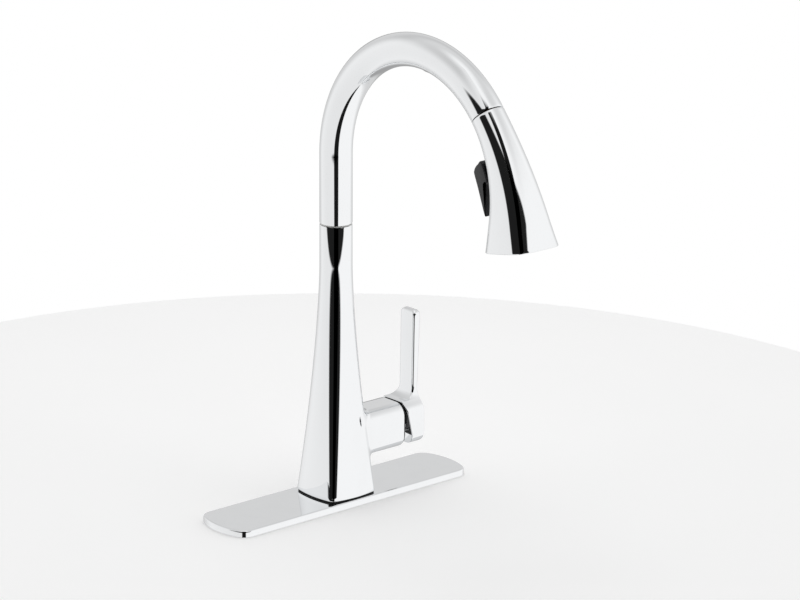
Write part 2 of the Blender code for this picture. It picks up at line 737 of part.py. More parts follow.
def build_mounting(parent):
    """The washers, nut and two jack screws that clamp the deck, at one deck thickness."""
    bore = SHANK_RADIUS + SLIDE_GAP
    ground = level(0)
    rubber = -DECK_THICKNESS - RUBBER_THICKNESS
    steel = rubber - GAP - STEEL_THICKNESS
    nut = steel - NUT_STAND_OFF
    flange = nut - NUT_FLANGE
    add("rubber_washer", tube(ground, rubber, -DECK_THICKNESS, RUBBER_RADIUS, bore),
        "black_rubber", parent)
    add("steel_washer", tube(ground, steel, rubber - GAP, STEEL_RADIUS, bore), "steel",
        parent)
    body = add("mounting_nut", rod(ground, flange, nut, STEEL_RADIUS), "brass", parent)
    join(body, rod(ground, nut - NUT_HEIGHT, nut - NUT_FLANGE / 2, bore + HEX_WALL, 6), "hex")
    cut(body, rod(ground, nut - NUT_HEIGHT - OUTSIDE, nut + OUTSIDE, bore), "thread_bore")
    jack_circle = (bore + JACK_EDGE + STEEL_RADIUS) / 2
    tip = steel - GAP
    foot = tip - JACK_LENGTH
    chamfer = JACK_RADIUS / 4
    profile = ((foot - JACK_HEAD_LENGTH, JACK_HEAD), (foot, JACK_HEAD), (foot, JACK_RADIUS),
               (tip - chamfer, JACK_RADIUS), (tip, JACK_RADIUS - chamfer))
    holes = []
    for side, name in ((1, "jack_screw_right"), (-1, "jack_screw_left")):
        plane = level(0, side * jack_circle)
        holes.append(rod(plane, flange - OUTSIDE, nut + OUTSIDE, JACK_RADIUS + GAP, FINE_STEPS))
        add(name, turned(plane, profile, FINE_STEPS), "steel", parent)
    cut(body, merged(holes), "jack_holes")


# Valve cartridge


def drill_ports(piece):
    holes = [rod(valve_plane(0).moved(*place), 0, BOSS_END, PORT_RADIUS, FINE_STEPS)
             for place in port_places().values()]
    cut(piece, merged(holes), "ports")


def build_cartridge():
    axis = valve_plane(0)
    for name, start, thickness, radius, finish in (
        ("cartridge_seal", SEAL_START, SEAL_THICKNESS, HOUSING_BORE, "black_rubber"),
        ("cartridge_base", BASE_START, BASE_THICKNESS, HOUSING_BORE - GAP, "white_plastic"),
        ("fixed_disc", FIXED_START, FIXED_DISC, DISC_RADIUS, "ceramic"),
    ):
        drill_ports(add(name, rod(axis, start, start + thickness, radius), finish))
    lid_bore = ROTOR_NECK + GAP
    profile = ((BASE_START, HOUSING_RADIUS), (LID_START + HOUSING_LID, HOUSING_RADIUS),
               (LID_START + HOUSING_LID, lid_bore), (LID_START, lid_bore),
               (LID_START, HOUSING_BORE), (BASE_START, HOUSING_BORE))
    add("cartridge_housing", turned(axis, profile, closed=True), "white_plastic")
    nut = add("cartridge_nut", tube(axis, VALVE_NUT_START, VALVE_NUT_END, HOUSING_RADIUS,
                                    ROTOR_NECK + 2 * SLIDE_GAP), "brass")
    low, high = VALVE_NUT_END - NOTCH_DEPTH, VALVE_NUT_END + OUTSIDE
    cut(nut, box(axis, NOTCH_HALF, 2 * VALVE_BORE, low, high), "notches_up")
    cut(nut, box(axis, 2 * VALVE_BORE, NOTCH_HALF, low, high), "notches_across")


def build_discs(parent):
    """The moving disc and its carrier, resting a little below the axis: the valve is shut."""
    axis = valve_plane(0).moved(0, -DISC_OFFSET)
    disc = add("moving_disc", rod(axis, MOVING_START, MOVING_START + MOVING_DISC,
                                  MOVING_RADIUS), "ceramic", parent)
    cut(disc, rod(axis, MOVING_START - OUTSIDE, MOVING_START + DISC_PASSAGE_DEPTH,
                  MOVING_RADIUS - DISC_LAND, FEW_STEPS), "passage")
    carrier = add("disc_carrier", rod(axis, CARRIER_START, CARRIER_START + CARRIER_THICKNESS,
                                      MOVING_RADIUS), "grey_plastic", parent)
    half = BALL_RADIUS + SLIDE_GAP
    cut(carrier, box(valve_plane(0), half, half, PIVOT - BALL_ARM - BALL_RADIUS - GAP,
                     ROTOR_START + OUTSIDE), "ball_pocket")


def cross_rod(end, radius):
    """A rod along Y through the stem's pivot, to an end on both sides."""
    across = Plane((PIVOT, 0, BOSS_HEIGHT), (0, 0, 1), (1, 0, 0))
    return rod(across, -end, end, radius, FINE_STEPS)


def build_rotor(parent):
    """The rotor that the stem tilts in, with a slot for the stem and the lift pin's hole."""
    rim, step = HOUSING_BORE - SLIDE_GAP, LID_START - GAP
    profile = ((ROTOR_START, rim), (step, rim), (step, ROTOR_NECK), (ROTOR_END, ROTOR_NECK))
    rotor = add("stem_rotor", turned(valve_plane(0), profile), "grey_plastic", parent)
    reach = (PIVOT - ROTOR_START) * math.tan(math.radians(LIFT_ANGLE))
    cut(rotor, box(valve_plane(0), STEM_HALF + SLIDE_GAP, STEM_HALF + SLOT_SHARE * reach,
                   ROTOR_START - OUTSIDE, ROTOR_END + OUTSIDE), "slot")
    cut(rotor, cross_rod(VALVE_BORE, PIN_RADIUS + GAP), "pin_hole")
    add("lift_pin", cross_rod(ROTOR_NECK - PIN_INSET, PIN_RADIUS), "steel", parent)


def build_stem(parent):
    """The tilting stem: a ball end in the carrier, a thin neck, and a square shaft."""
    ball = PIVOT - BALL_ARM
    square = rounded_rectangle(STEM_HALF, STEM_HALF, STEM_HALF / 8, 3)
    square = square[np.argsort(np.arctan2(square[:, 1], square[:, 0]) % (2 * math.pi))]
    profile = [(ball + BALL_RADIUS * math.sin(t), BALL_RADIUS * math.cos(t))
               for t in np.radians((-65, -30, 0, 30, 46))]
    neck = profile[-1][1]
    profile += [(PIVOT - 1.4 * STEM_HALF, neck)]
    rings = [valve_plane(x).ring(circle(radius, len(square))) for x, radius in profile]
    rings += [valve_plane(x).ring(square) for x in (PIVOT - STEM_HALF, STEM_END)]
    stem = add("valve_stem", loft(rings), "steel", parent)
    cut(stem, cross_rod(VALVE_BORE, PIN_RADIUS + GAP), "pin_hole")


# Bonnet and handle


def build_bonnet():
    """The gasket on the boss's end, and the dome that the handle swings over."""
    axis = valve_plane(0)
    skirt = math.sqrt(DOME_RADIUS**2 - (DOME_START - PIVOT) ** 2)
    start = BOSS_END + GAP
    ring = add("bonnet_gasket", prism(axis, boss_outline(BONNET_SEAL_INSET), start,
                                      start + BONNET_GASKET), "black_rubber")
    cut(ring, rod(axis, 0, 2 * BOSS_END, skirt + SLIDE_GAP), "dome_hole")
    widest = math.acos((DOME_START - PIVOT) / DOME_RADIUS)
    narrowest = math.asin(DOME_OPENING / DOME_RADIUS)
    turns = np.linspace(widest, narrowest, 4)

    def arc(radius):
        return [(PIVOT + radius * math.cos(t), radius * math.sin(t)) for t in turns]

    foot = VALVE_NUT_END + GAP
    profile = [(foot, skirt), *arc(DOME_RADIUS), *arc(DOME_RADIUS - DOME_WALL)[::-1],
               (foot, skirt - DOME_WALL)]
    add("bonnet_dome", turned(axis, profile, closed=True), "gloss_black")


def arc_points(centre, radius, start, end, steps):
    """Points of an arc from one direction to another, both in degrees."""
    turn = np.radians(np.linspace(start, end, steps + 1))
    return np.column_stack((centre[0] + radius * np.cos(turn),
                            centre[1] + radius * np.sin(turn)))


def handle_side():
    """The handle from the side, as (x, height above the valve's axis): a slanted rim,
    the cap's top, a cove up to the lever, and the lever's round end."""
    top = LEVER_TOP - BOSS_HEIGHT
    tip_inner = LEVER_INNER + LEVER_LEAN
    nose = min(LEVER_ROUND, 0.49 * (LEVER_OUTER - tip_inner))
    cove = arc_points((LEVER_INNER - LEVER_FILLET, BOSS_HALF_Z + LEVER_FILLET), LEVER_FILLET,
                      -90, 0, 5)
    inner = arc_points((tip_inner + nose, top - nose), nose, 180, 90, 4)
    outer = arc_points((LEVER_OUTER - nose, top - nose), nose, 90, 0, 4)
    return np.vstack(([(BOSS_END + RIM_GAP_TOP, BOSS_HALF_Z)], cove, inner, outer,
                      [(HANDLE_END, BOSS_HALF_Z), (HANDLE_END, -BOSS_HALF_Z),
                       (BOSS_END + RIM_GAP_FOOT, -BOSS_HALF_Z)]))


def handle_front():
    """The handle from its end: the boss's outline with the lever standing on it. Where
    the lever meets the round corner, a curve runs from one into the other."""
    top = LEVER_TOP - BOSS_HEIGHT
    cap = boss_outline()
    right = cap[cap[:, 0] > 0]
    right = right[np.argsort(np.arctan2(right[:, 1], right[:, 0]))]
    right = right[(right[:, 0] > LEVER_HALF + SIDE_FILLET / 2) | (right[:, 1] < 0)]
    aside = LEVER_HALF - (BOSS_HALF_Y - BOSS_CORNER)
    root = BOSS_HALF_Z - BOSS_CORNER + math.sqrt(BOSS_CORNER**2 - max(aside, 0) ** 2)
    start, bend = right[-1], np.array((LEVER_HALF, root))
    end = np.array((LEVER_HALF, BOSS_HALF_Z + SIDE_FILLET))
    cove = [(1 - t) ** 2 * start + 2 * t * (1 - t) * bend + t * t * end
            for t in (0.25, 0.5, 0.75, 1.0)]
    tip = arc_points((LEVER_HALF - LEVER_ROUND, top - LEVER_ROUND), LEVER_ROUND, 0, 90, 4)
    side = np.vstack((right, cove, tip))
    return np.vstack((side, side[::-1] * (-1, 1)))


def build_handle(parent):
    """The handle, hollow over the dome and with a square socket for the stem, and the
    set screw and plug below it."""
    side_plane = Plane((0, 0, BOSS_HEIGHT), (1, 0, 0), (0, 0, 1))
    width = 2 * BOSS_HALF_Y
    handle = add("handle_lever", prism(side_plane, handle_side(), -width, width), "chrome",
                 parent)
    combine(handle, prism(valve_plane(0), handle_front(), BOSS_END, 2 * HANDLE_END),
            "INTERSECT", "front_outline")
    hollow = DOME_RADIUS + HANDLE_EASE
    ball = [(hollow * math.sin(t), hollow * math.cos(t))
            for t in np.radians(np.linspace(-80, 85, 11))]
    cut(handle, turned(valve_plane(PIVOT), ball), "hollow")
    socket = STEM_HALF + GAP
    cut(handle, box(valve_plane(0), socket, socket, STEM_END - SOCKET_DEPTH, STEM_END + GAP),
        "socket")
    foot = BOSS_HEIGHT - BOSS_HALF_Z
    mouth = foot + PLUG_THICKNESS + 2 * GAP
    top = BOSS_HEIGHT - STEM_HALF
    grub = level(0, GRUB_PLACE)
    bore, plug_bore = GRUB_RADIUS + GAP, PLUG_RADIUS + GAP
    profile = ((foot - OUTSIDE, plug_bore), (mouth, plug_bore), (mouth, bore),
               (top + STEM_HALF / 4, bore))
    cut(handle, turned(grub, profile, FEW_STEPS), "grub_hole")
    add("handle_set_screw", rod(grub, top - GAP - GRUB_LENGTH, top - GAP, GRUB_RADIUS,
                                FINE_STEPS), "steel", parent)
    add("handle_plug", rod(grub, foot + GAP, foot + GAP + PLUG_THICKNESS, PLUG_RADIUS,
                           FEW_STEPS), "grey_plastic", parent)


# Spout


def spout_plane(degrees):
    """A plane square to the spout's arc, at an angle round it from the riser."""
    turn = math.radians(degrees)
    place = (0, ARC_RADIUS * (math.cos(turn) - 1), RISER_TOP + ARC_RADIUS * math.sin(turn))
    return bend_plane(place, degrees)


def dock_plane():
    """The plane of the seam between spout and spray head. It faces back into the spout."""
    return spout_plane(ARC_ANGLE)


def vent_outline(ease=0.0):
    half = VENT_HALF_WIDTH + ease
    return rounded_rectangle(half, VENT_HALF_LENGTH + ease, 0.96 * half)


def build_spout(parent):
    """The spout's tube, with the vent plug on its underside, the dog-point screw that
    runs in the hub's groove, and the rings and washer that it turns on."""
    angles = np.linspace(0, ARC_ANGLE, 15)
    planes = [bend_plane((0, 0, SPOUT_FOOT), 0)] + [spout_plane(a) for a in angles]
    outer = [plane.ring(circle(SPOUT_RADIUS)) for plane in planes]
    inner = [plane.ring(circle(SPOUT_BORE)) for plane in planes]
    spout = add("spout_tube", loft(outer + inner[::-1], closed=True), "chrome", parent)
    back = Plane((0, 0, GROOVE_PLACE), (0, 0, 1), (1, 0, 0))
    cut(spout, rod(back, HUB_RADIUS, SPOUT_RADIUS + OUTSIDE, SET_SCREW_RADIUS + GAP,
                   FINE_STEPS), "set_screw_hole")
    vent = spout_plane(VENT_ANGLE)
    under = Plane(vent.point(0, SPOUT_BORE), vent.across, vent.facing)
    cut(spout, prism(under, vent_outline(GAP), -OUTSIDE, OUTSIDE), "vent_hole")
    add("spout_vent_plug", prism(under, vent_outline(), -SPOUT_WALL - VENT_PROUD, VENT_LIP),
        "gloss_black", parent)
    tip, shoulder = GROOVE_RADIUS + GAP, SPOUT_BORE - SCREW_INSET
    profile = ((tip, SET_SCREW_TIP), (shoulder, SET_SCREW_TIP), (shoulder, SET_SCREW_RADIUS),
               (SPOUT_RADIUS - SCREW_INSET, SET_SCREW_RADIUS))
    add("spout_set_screw", turned(back, profile, FINE_STEPS), "steel", parent)
    ground = level(0)
    for name, low in (("lower_glide_ring", SPOUT_FOOT + GLIDE_LOW),
                      ("upper_glide_ring", HUB_TOP - GLIDE_LENGTH - GLIDE_HIGH)):
        add(name, tube(ground, low, low + GLIDE_LENGTH, SPOUT_BORE - SLIDE_GAP,
                       HUB_RADIUS + GAP), "white_plastic", parent)
    add("swivel_washer", tube(ground, BODY_TOP + GAP, BODY_TOP + GAP + SEAM_WASHER,
                              SPOUT_RADIUS - GAP, SPOUT_BORE), "white_plastic", parent)


def build_hub():
    """The brass spigot that stands in the body's neck and carries the spout."""
    low, high = GROOVE_PLACE - GROOVE_WIDTH / 2, GROOVE_PLACE + GROOVE_WIDTH / 2
    profile = ((HUB_FOOT, HUB_RADIUS), (low, HUB_RADIUS), (low, GROOVE_RADIUS),
               (high, GROOVE_RADIUS), (high, HUB_RADIUS), (HUB_TOP, HUB_RADIUS),
               (HUB_TOP, HUB_BORE), (HUB_FOOT, HUB_BORE))
    add("spout_hub", turned(level(0), profile, closed=True), "brass")


def build_dock(parent):
    """The collar that takes the spray head's neck, and the ring magnet behind it."""
    dock = dock_plane()
    bore = NECK_RADIUS + SLIDE_GAP
    end = COLLAR_START + COLLAR_LENGTH
    add("dock_collar", tube(dock, COLLAR_START, end, bore + COLLAR_WALL, bore),
        "grey_plastic", parent)
    add("dock_magnet", tube(dock, end + GAP, end + GAP + MAGNET_LENGTH,
                            NECK_RADIUS + MAGNET_STEP, FERRULE_RADIUS + FERRULE_ROOM),
        "magnet_black", parent)


# Hose


def hose_route():
    """The hose's line: up the middle of the body and riser, round most of the arc, over
    a smooth cubic to the head's line, and then straight into its ferrule."""
    dock = dock_plane()
    entry = dock.middle + dock.facing * (FERRULE_START + FERRULE_LENGTH + HOSE_LEAD)
    end = dock.middle + dock.facing * (FERRULE_START + HOSE_RADIUS / 2)
    leave = spout_plane(ARC_ANGLE - HOSE_EASE_ANGLE)
    points = [(0, 0, z) for z in np.linspace(HOSE_END, RISER_TOP, 15)]
    points += [spout_plane(a).middle for a in np.linspace(0, ARC_ANGLE - HOSE_EASE_ANGLE, 8)[1:]]
    span = np.linalg.norm(entry - leave.middle)
    for t in (0.35, 0.68):
        places = leave.middle * (2 * t**3 - 3 * t**2 + 1) + entry * (3 * t**2 - 2 * t**3)
        slopes = -leave.facing * (t**3 - 2 * t**2 + t) - dock.facing * (t**3 - t**2)
        points.append(places + slopes * span)
    return points + [entry, end]


def build_hose(parent):
    line = bpy.data.curves.new("spray_hose", "CURVE")
    line.dimensions = "3D"
    line.bevel_depth = HOSE_RADIUS
    line.bevel_resolution = 3
    line.use_fill_caps = True
    route = hose_route()
    spline = line.splines.new("POLY")
    spline.points.add(len(route) - 1)
    for point, place in zip(spline.points, route):
        point.co = (*(np.array(place) - np.array(parent.location)), 1.0)
    line.materials.append(finish_material("braid"))
    hose = bpy.data.objects.new("spray_hose", line)
    bpy.context.collection.objects.link(hose)
    hose.parent = parent


def build_hose_end(parent):
    """The crimped ferrule, and the nipple that the spray head turns on, with its seal."""
    dock = dock_plane()
    add("hose_ferrule", tube(dock, FERRULE_START, FERRULE_START + FERRULE_LENGTH,
                             FERRULE_RADIUS, HOSE_RADIUS + GAP, FEW_STEPS), "steel", parent)
    top = FERRULE_START - GAP
    seat = NECK_SEAT + GAP
    flange = NECK_RECESS - 2 * SLIDE_GAP
    low, high = SEAL_PLACE - SEAL_WIDTH / 2, SEAL_PLACE + SEAL_WIDTH / 2
    groove = NIPPLE_RADIUS - SEAL_DEPTH
    end = top - NIPPLE_LENGTH
    profile = ((top, flange), (seat, flange), (seat, NIPPLE_RADIUS), (high, NIPPLE_RADIUS),
               (high, groove), (low, groove), (low, NIPPLE_RADIUS), (end, NIPPLE_RADIUS),
               (end, NIPPLE_BORE), (top, NIPPLE_BORE))
    add("hose_nipple", turned(dock, profile, FEW_STEPS, closed=True), "brass", parent)
    middle = groove + GAP + SEAL_THICK
    ring = [(SEAL_PLACE + SEAL_THICK * math.cos(t), middle + SEAL_THICK * math.sin(t))
            for t in np.arange(6) * math.pi / 3]
    add("nipple_o_ring", turned(dock, ring, FEW_STEPS, closed=True), "black_rubber", parent)


# Spray head


def head_plane(along):
    """A plane square to the head's centreline, so far along it from the dock's seam.
    The head curves evenly from the spout's direction and runs straight to its outlet."""
    curved = HEAD_LENGTH - HEAD_STRAIGHT
    rate = math.radians(HEAD_ANGLE - ARC_ANGLE) / curved
    start = math.radians(ARC_ANGLE)
    bent = min(along, curved)
    turn = start + rate * bent
    dock = dock_plane().middle
    y = dock[1] + (math.cos(turn) - math.cos(start)) / rate
    z = dock[2] + (math.sin(turn) - math.sin(start)) / rate
    rest = max(along - curved, 0.0)
    place = (0, y - rest * math.sin(turn), z + rest * math.cos(turn))
    return bend_plane(place, math.degrees(turn))


def head_point(along, out, across=0.0):
    return head_plane(along).point(across, out)


HEAD_DIRECTIONS = section_directions(
    swollen_limit(HEAD_HALF, HEAD_SIDE_RADIUS, HEAD_CORNER)[1], 2, 4)


def head_section(along, inset=0.0):
    share = min(max(along, 0) / HEAD_LENGTH, 1.0) ** HEAD_POWER
    return grown_square(HEAD_DIRECTIONS, share, SPOUT_RADIUS, HEAD_HALF, HEAD_SIDE_RADIUS,
                        HEAD_CORNER, inset)


def head_ring(along, inset=0.0):
    return head_plane(along).ring(head_section(along, inset))


def build_spray_shell(parent):
    places = np.concatenate(([HEAD_SEAM], np.linspace(HEAD_LENGTH / 8, HEAD_LENGTH, 8)))
    outer = [head_ring(s) for s in places]
    inner = [head_ring(s, HEAD_WALL) for s in places]
    shell = add("spray_shell", loft(outer + inner[::-1], closed=True), "chrome", parent)
    middle = head_plane((WINDOW_START + WINDOW_END) / 2)
    half = (WINDOW_END - WINDOW_START) / 2
    window = Plane(middle.point(0, SPOUT_RADIUS), middle.across, middle.facing)
    cut(shell, box(window, ROOT_HALF + WINDOW_ROOM, half, OUTSIDE, -OUTSIDE), "trigger_window")


def build_spray_neck(parent):
    """The neck that docks in the collar and turns on the nipple, and the steel ring on
    it that the magnet holds."""
    dock = dock_plane()
    wide = SPOUT_RADIUS - HEAD_WALL - NIPPLE_ROOM
    thin = NECK_RADIUS - NECK_STEP
    bore = NIPPLE_RADIUS + NIPPLE_ROOM
    high, low = NECK_FLANGE
    profile = ((NECK_TOP, NECK_RADIUS), (high, NECK_RADIUS), (high, wide), (low, wide),
               (low, thin), (-NECK_LENGTH, thin), (-NECK_LENGTH, bore), (NECK_SEAT, bore),
               (NECK_SEAT, NECK_RECESS), (NECK_TOP, NECK_RECESS))
    add("spray_neck", turned(dock, profile, closed=True), "brass", parent)
    start = NECK_TOP + GAP
    add("docking_ring", tube(dock, start, start + DOCK_RING, NECK_RADIUS,
                             FERRULE_RADIUS + FERRULE_ROOM), "steel", parent)


def pin_plane():
    """The trigger pin's axis, facing across the head."""
    lug = head_plane(PIVOT_ALONG)
    return Plane(lug.point(0, SPOUT_RADIUS + PIVOT_OUT), lug.up, lug.facing)


def plunger_plane():
    """The plunger's line, facing out of the head towards the trigger."""
    place = head_plane(PLUNGER_ALONG)
    return Plane(place.middle, place.facing, place.across)


def pin_hole():
    return rod(pin_plane(), -HEAD_HALF, HEAD_HALF, TRIGGER_PIN + GAP, FINE_STEPS)


def build_spray_core(parent):
    """The water body: a spigot in the neck, a barrel with two lugs for the trigger's
    pin, and a bell that fills the head and holds the nozzles."""
    dock = dock_plane()
    inset = HEAD_WALL + CORE_GAP
    front = MAT_START - GAP
    seat = HEAD_LENGTH - AERATOR_LENGTH - AERATOR_ROOM
    way_out = np.column_stack((np.cos(HEAD_DIRECTIONS), np.sin(HEAD_DIRECTIONS)))
    spigot = SPIGOT_LENGTH - NECK_LENGTH
    bell = HEAD_LENGTH - BELL_START

    def round_ring(along, radius):
        return head_plane(along).ring(radius * way_out)

    outer = [dock.ring(BARREL_RADIUS * way_out, spigot),
             dock.ring(BARREL_RADIUS * way_out, -NECK_LENGTH - NIPPLE_ROOM)]
    outer += [round_ring(s, BARREL_RADIUS) for s in (BARREL_START, PIVOT_ALONG, BARREL_END)]
    outer += [head_ring(s, inset) for s in (bell, HEAD_LENGTH - BELL_SHOULDER, front)]
    mouth = AERATOR_RADIUS + GAP
    inner = [round_ring(front, mouth), round_ring(seat, mouth)]
    inner += [round_ring(s, WATERWAY_RADIUS) for s in (seat, bell, PIVOT_ALONG, BARREL_START)]
    inner += [dock.ring(WATERWAY_RADIUS * way_out, spigot)]
    core = add("spray_core", loft(outer + inner, closed=True), "white_plastic", parent)
    slot = ROOT_HALF + SLIDE_GAP
    side, top = slot + LUG_WALL, SPOUT_RADIUS + PIVOT_OUT + LUG_RISE
    outline = [(-side, -LUG_RISE), (side, -LUG_RISE), (side, top), (slot, top),
               (slot, BARREL_RADIUS), (-slot, BARREL_RADIUS), (-slot, top), (-side, top)]
    lug = head_plane(PIVOT_ALONG)
    join(core, prism(lug, outline, -LUG_HALF, LUG_HALF), "lugs")
    cut(core, rod(lug, -2 * LUG_HALF, 2 * LUG_HALF, WATERWAY_RADIUS, FEW_STEPS), "waterway")
    cut(core, pin_hole(), "pin_hole")
    cut(core, rod(plunger_plane(), WATERWAY_RADIUS / 3, 2 * BARREL_RADIUS,
                  PLUNGER_RADIUS + GAP, FINE_STEPS), "plunger_hole")


def build_trigger(parent):
    """The lever that is squeezed, and its root, which goes in through the shell's window
    to the pin and presses the plunger."""
    side = Plane((0, 0, 0), (0, 1, 0), (0, 0, 1))

    def slab(outline, half):
        points = [head_point(along, SPOUT_RADIUS + out)[1:] for along, out in outline]
        return prism(side, points, -half, half)

    trigger = add("spray_trigger", slab(BLADE_OUTLINE, TRIGGER_HALF), "black_plastic", parent)
    join(trigger, slab(ROOT_OUTLINE, ROOT_HALF), "root")
    cut(trigger, pin_hole(), "pin_hole")


def build_plunger(parent):
    """The plunger under the trigger, and the coil spring that pushes it back."""
    line = plunger_plane()
    top = SPOUT_RADIUS + ROOT_PAD - GAP
    under = top - PLUNGER_HEAD_LENGTH
    profile = ((PLUNGER_FOOT, PLUNGER_RADIUS), (under, PLUNGER_RADIUS), (under, PLUNGER_HEAD),
               (top, PLUNGER_HEAD))
    add("diverter_plunger", turned(line, profile, FINE_STEPS), "grey_plastic", parent)
    coil = PLUNGER_RADIUS + SPRING_ROOM
    low, high = BARREL_RADIUS + GAP + SPRING_WIRE, under - GAP - SPRING_WIRE
    rings = []
    for t in np.linspace(0, 1, 8 * SPRING_TURNS + 1):
        turn = 2 * math.pi * SPRING_TURNS * t
        across, up = math.cos(turn), math.sin(turn)
        centre = line.point(coil * across, coil * up, low + (high - low) * t)
        radial = line.across * across + line.up * up
        rings.append(Plane(centre, radial, line.facing).ring(circle(SPRING_WIRE, 5)))
    add("diverter_spring", loft(rings), "steel", parent)


def nozzle_rods(start, end, radius, tip):
    """One tapered rod for each nozzle, between two places along the head."""
    outlet = head_plane(HEAD_LENGTH)
    profile = ((HEAD_LENGTH - start, radius), (HEAD_LENGTH - end, tip))
    rods = []
    for ring_radius, count in NOZZLE_RINGS:
        for turn in (np.arange(count) + 0.5) * 2 * math.pi / count:
            place = outlet.moved(ring_radius * math.cos(turn), ring_radius * math.sin(turn))
            rods.append(turned(place, profile, NOZZLE_STEPS))
    return merged(rods)


def build_outlet(parent):
    """The nozzle mat, the face plate it shows through, and the aerator in the middle."""
    outlet = head_plane(HEAD_LENGTH)

    def plate(name, start, end, finish):
        rings = [head_plane(s).ring(head_section(start, HEAD_WALL + CORE_GAP))
                 for s in (start, end)]
        return add(name, loft(rings), finish, parent)

    mat = plate("nozzle_mat", MAT_START, MAT_END, "grey_silicone")
    join(mat, nozzle_rods(MAT_END - MAT_THICKNESS / 2, FACE_END + NOZZLE_PROUD, NOZZLE_RADIUS,
                          NOZZLE_RADIUS * NOZZLE_TAPER), "nozzles")
    face = plate("spray_face", FACE_START, FACE_END, "black_plastic")
    hole = NOZZLE_RADIUS + SLIDE_GAP
    cut(face, nozzle_rods(FACE_START - OUTSIDE, FACE_END + OUTSIDE, hole, hole),
        "nozzle_holes")
    for piece in (mat, face):
        cut(piece, rod(outlet, -OUTSIDE, BELL_SHOULDER, AERATOR_RADIUS + GAP), "aerator_hole")
    bore = AERATOR_RADIUS - AERATOR_WALL
    add("aerator_housing", tube(outlet, FACE_RECESS - AERATOR_PROUD, AERATOR_LENGTH,
                                AERATOR_RADIUS, bore), "chrome", parent)
    screen = add("aerator_screen", rod(outlet, SCREEN_PLACE, SCREEN_PLACE + SCREEN_THICKNESS,
                                       bore - GAP, FEW_STEPS), "steel", parent)
    places = [(0, 0), *(SCREEN_CIRCLE * circle(1, 6))]
    cut(screen, merged([rod(outlet.moved(*place), 0, 2 * SCREEN_PLACE, SCREEN_HOLE, 6)
                        for place in places]), "mesh_holes")


def main():
    for old in list(bpy.data.objects):
        bpy.data.objects.remove(old)
    build_plate()
    build_body()
    build_valve_block()
    build_plumbing()
    build_cartridge()
    build_bonnet()
    build_hub()
    build_mounting(pivot("mounting_slide", (0, 0, -DECK_THICKNESS)))

    temperature = pivot("temperature_axis", (PIVOT, 0, BOSS_HEIGHT))
    build_rotor(temperature)
    build_discs(pivot("disc_slide", (MOVING_START, 0, BOSS_HEIGHT)))
    lift = pivot("lift_axis", (PIVOT, 0, BOSS_HEIGHT))
    build_stem(lift)
    build_handle(lift)

    swivel = pivot("spout_axis", (0, 0, SPOUT_FOOT))
    build_spout(swivel)
    build_dock(swivel)
    build_hose(swivel)
    seam = tuple(dock_plane().middle)
    build_hose_end(pivot("pull_slide", seam))
    head = pivot("spray_axis", seam)
    build_spray_shell(head)
    build_spray_neck(head)
    build_spray_core(head)
    build_outlet(head)
    pin_end = ROOT_HALF + LUG_WALL
    add("trigger_pin", rod(pin_plane(), -pin_end, pin_end, TRIGGER_PIN, FINE_STEPS), "steel",
        head)
    build_trigger(pivot("trigger_axis", tuple(pin_plane().middle)))
    build_plunger(pivot("plunger_slide", tuple(plunger_plane().middle)))


main()
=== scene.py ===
"""Pull-down kitchen faucet on a deck plate: the fine surfaces and finishes of its pieces.

Laid out as an add-on and run as a script. Metres, +Z up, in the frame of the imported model:
the origin is the middle of the deck plate on the deck, the handle is on the +X side, and the
spout arches forward, towards -Y.
"""

import json
import math

import bmesh
import bpy
import numpy as np
from bpy.props import FloatProperty, FloatVectorProperty, PointerProperty
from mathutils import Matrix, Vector


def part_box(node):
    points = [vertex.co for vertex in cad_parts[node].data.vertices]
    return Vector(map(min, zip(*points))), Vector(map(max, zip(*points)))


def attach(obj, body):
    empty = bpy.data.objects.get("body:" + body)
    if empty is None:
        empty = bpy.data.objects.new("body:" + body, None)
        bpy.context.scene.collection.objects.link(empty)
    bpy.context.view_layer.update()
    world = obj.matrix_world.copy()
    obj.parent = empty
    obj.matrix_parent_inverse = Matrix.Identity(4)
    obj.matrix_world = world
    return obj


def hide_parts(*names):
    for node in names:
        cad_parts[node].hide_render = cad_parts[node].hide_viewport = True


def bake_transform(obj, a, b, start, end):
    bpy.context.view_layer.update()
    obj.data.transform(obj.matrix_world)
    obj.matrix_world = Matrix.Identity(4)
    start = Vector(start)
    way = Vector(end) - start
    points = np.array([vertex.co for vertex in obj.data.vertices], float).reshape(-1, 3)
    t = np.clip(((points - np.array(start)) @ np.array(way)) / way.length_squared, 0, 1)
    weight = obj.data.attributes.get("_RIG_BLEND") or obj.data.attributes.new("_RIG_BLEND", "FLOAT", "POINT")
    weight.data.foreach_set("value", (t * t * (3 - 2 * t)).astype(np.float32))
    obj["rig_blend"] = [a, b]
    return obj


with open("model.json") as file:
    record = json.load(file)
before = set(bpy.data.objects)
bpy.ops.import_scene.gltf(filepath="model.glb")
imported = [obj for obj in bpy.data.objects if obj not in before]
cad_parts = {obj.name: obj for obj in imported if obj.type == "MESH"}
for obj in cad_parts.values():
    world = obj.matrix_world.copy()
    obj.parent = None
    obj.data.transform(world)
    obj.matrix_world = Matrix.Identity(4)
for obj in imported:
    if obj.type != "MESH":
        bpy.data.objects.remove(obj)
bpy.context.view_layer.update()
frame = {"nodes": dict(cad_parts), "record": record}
RECORD = frame["record"]
BODY_OF = {node: body for body, nodes in RECORD["behaviour"]["bodies"].items()
           for node in nodes}
SLOT_OF = {row["node"]: row["material_slot"] for row in RECORD["subparts"]}
COLOR_OF = {row["slot"]: tuple(row["base_color"]) for row in RECORD["materials"]}

bl_info = {
    "name": "Kitchen faucet surfaces",
    "version": (1, 0, 0),
    "blender": (4, 5, 0),
    "location": "View3D > Sidebar > Faucet",
    "description": "Fine surfaces and finishes for a pull-down kitchen faucet",
    "category": "Add Mesh",
}

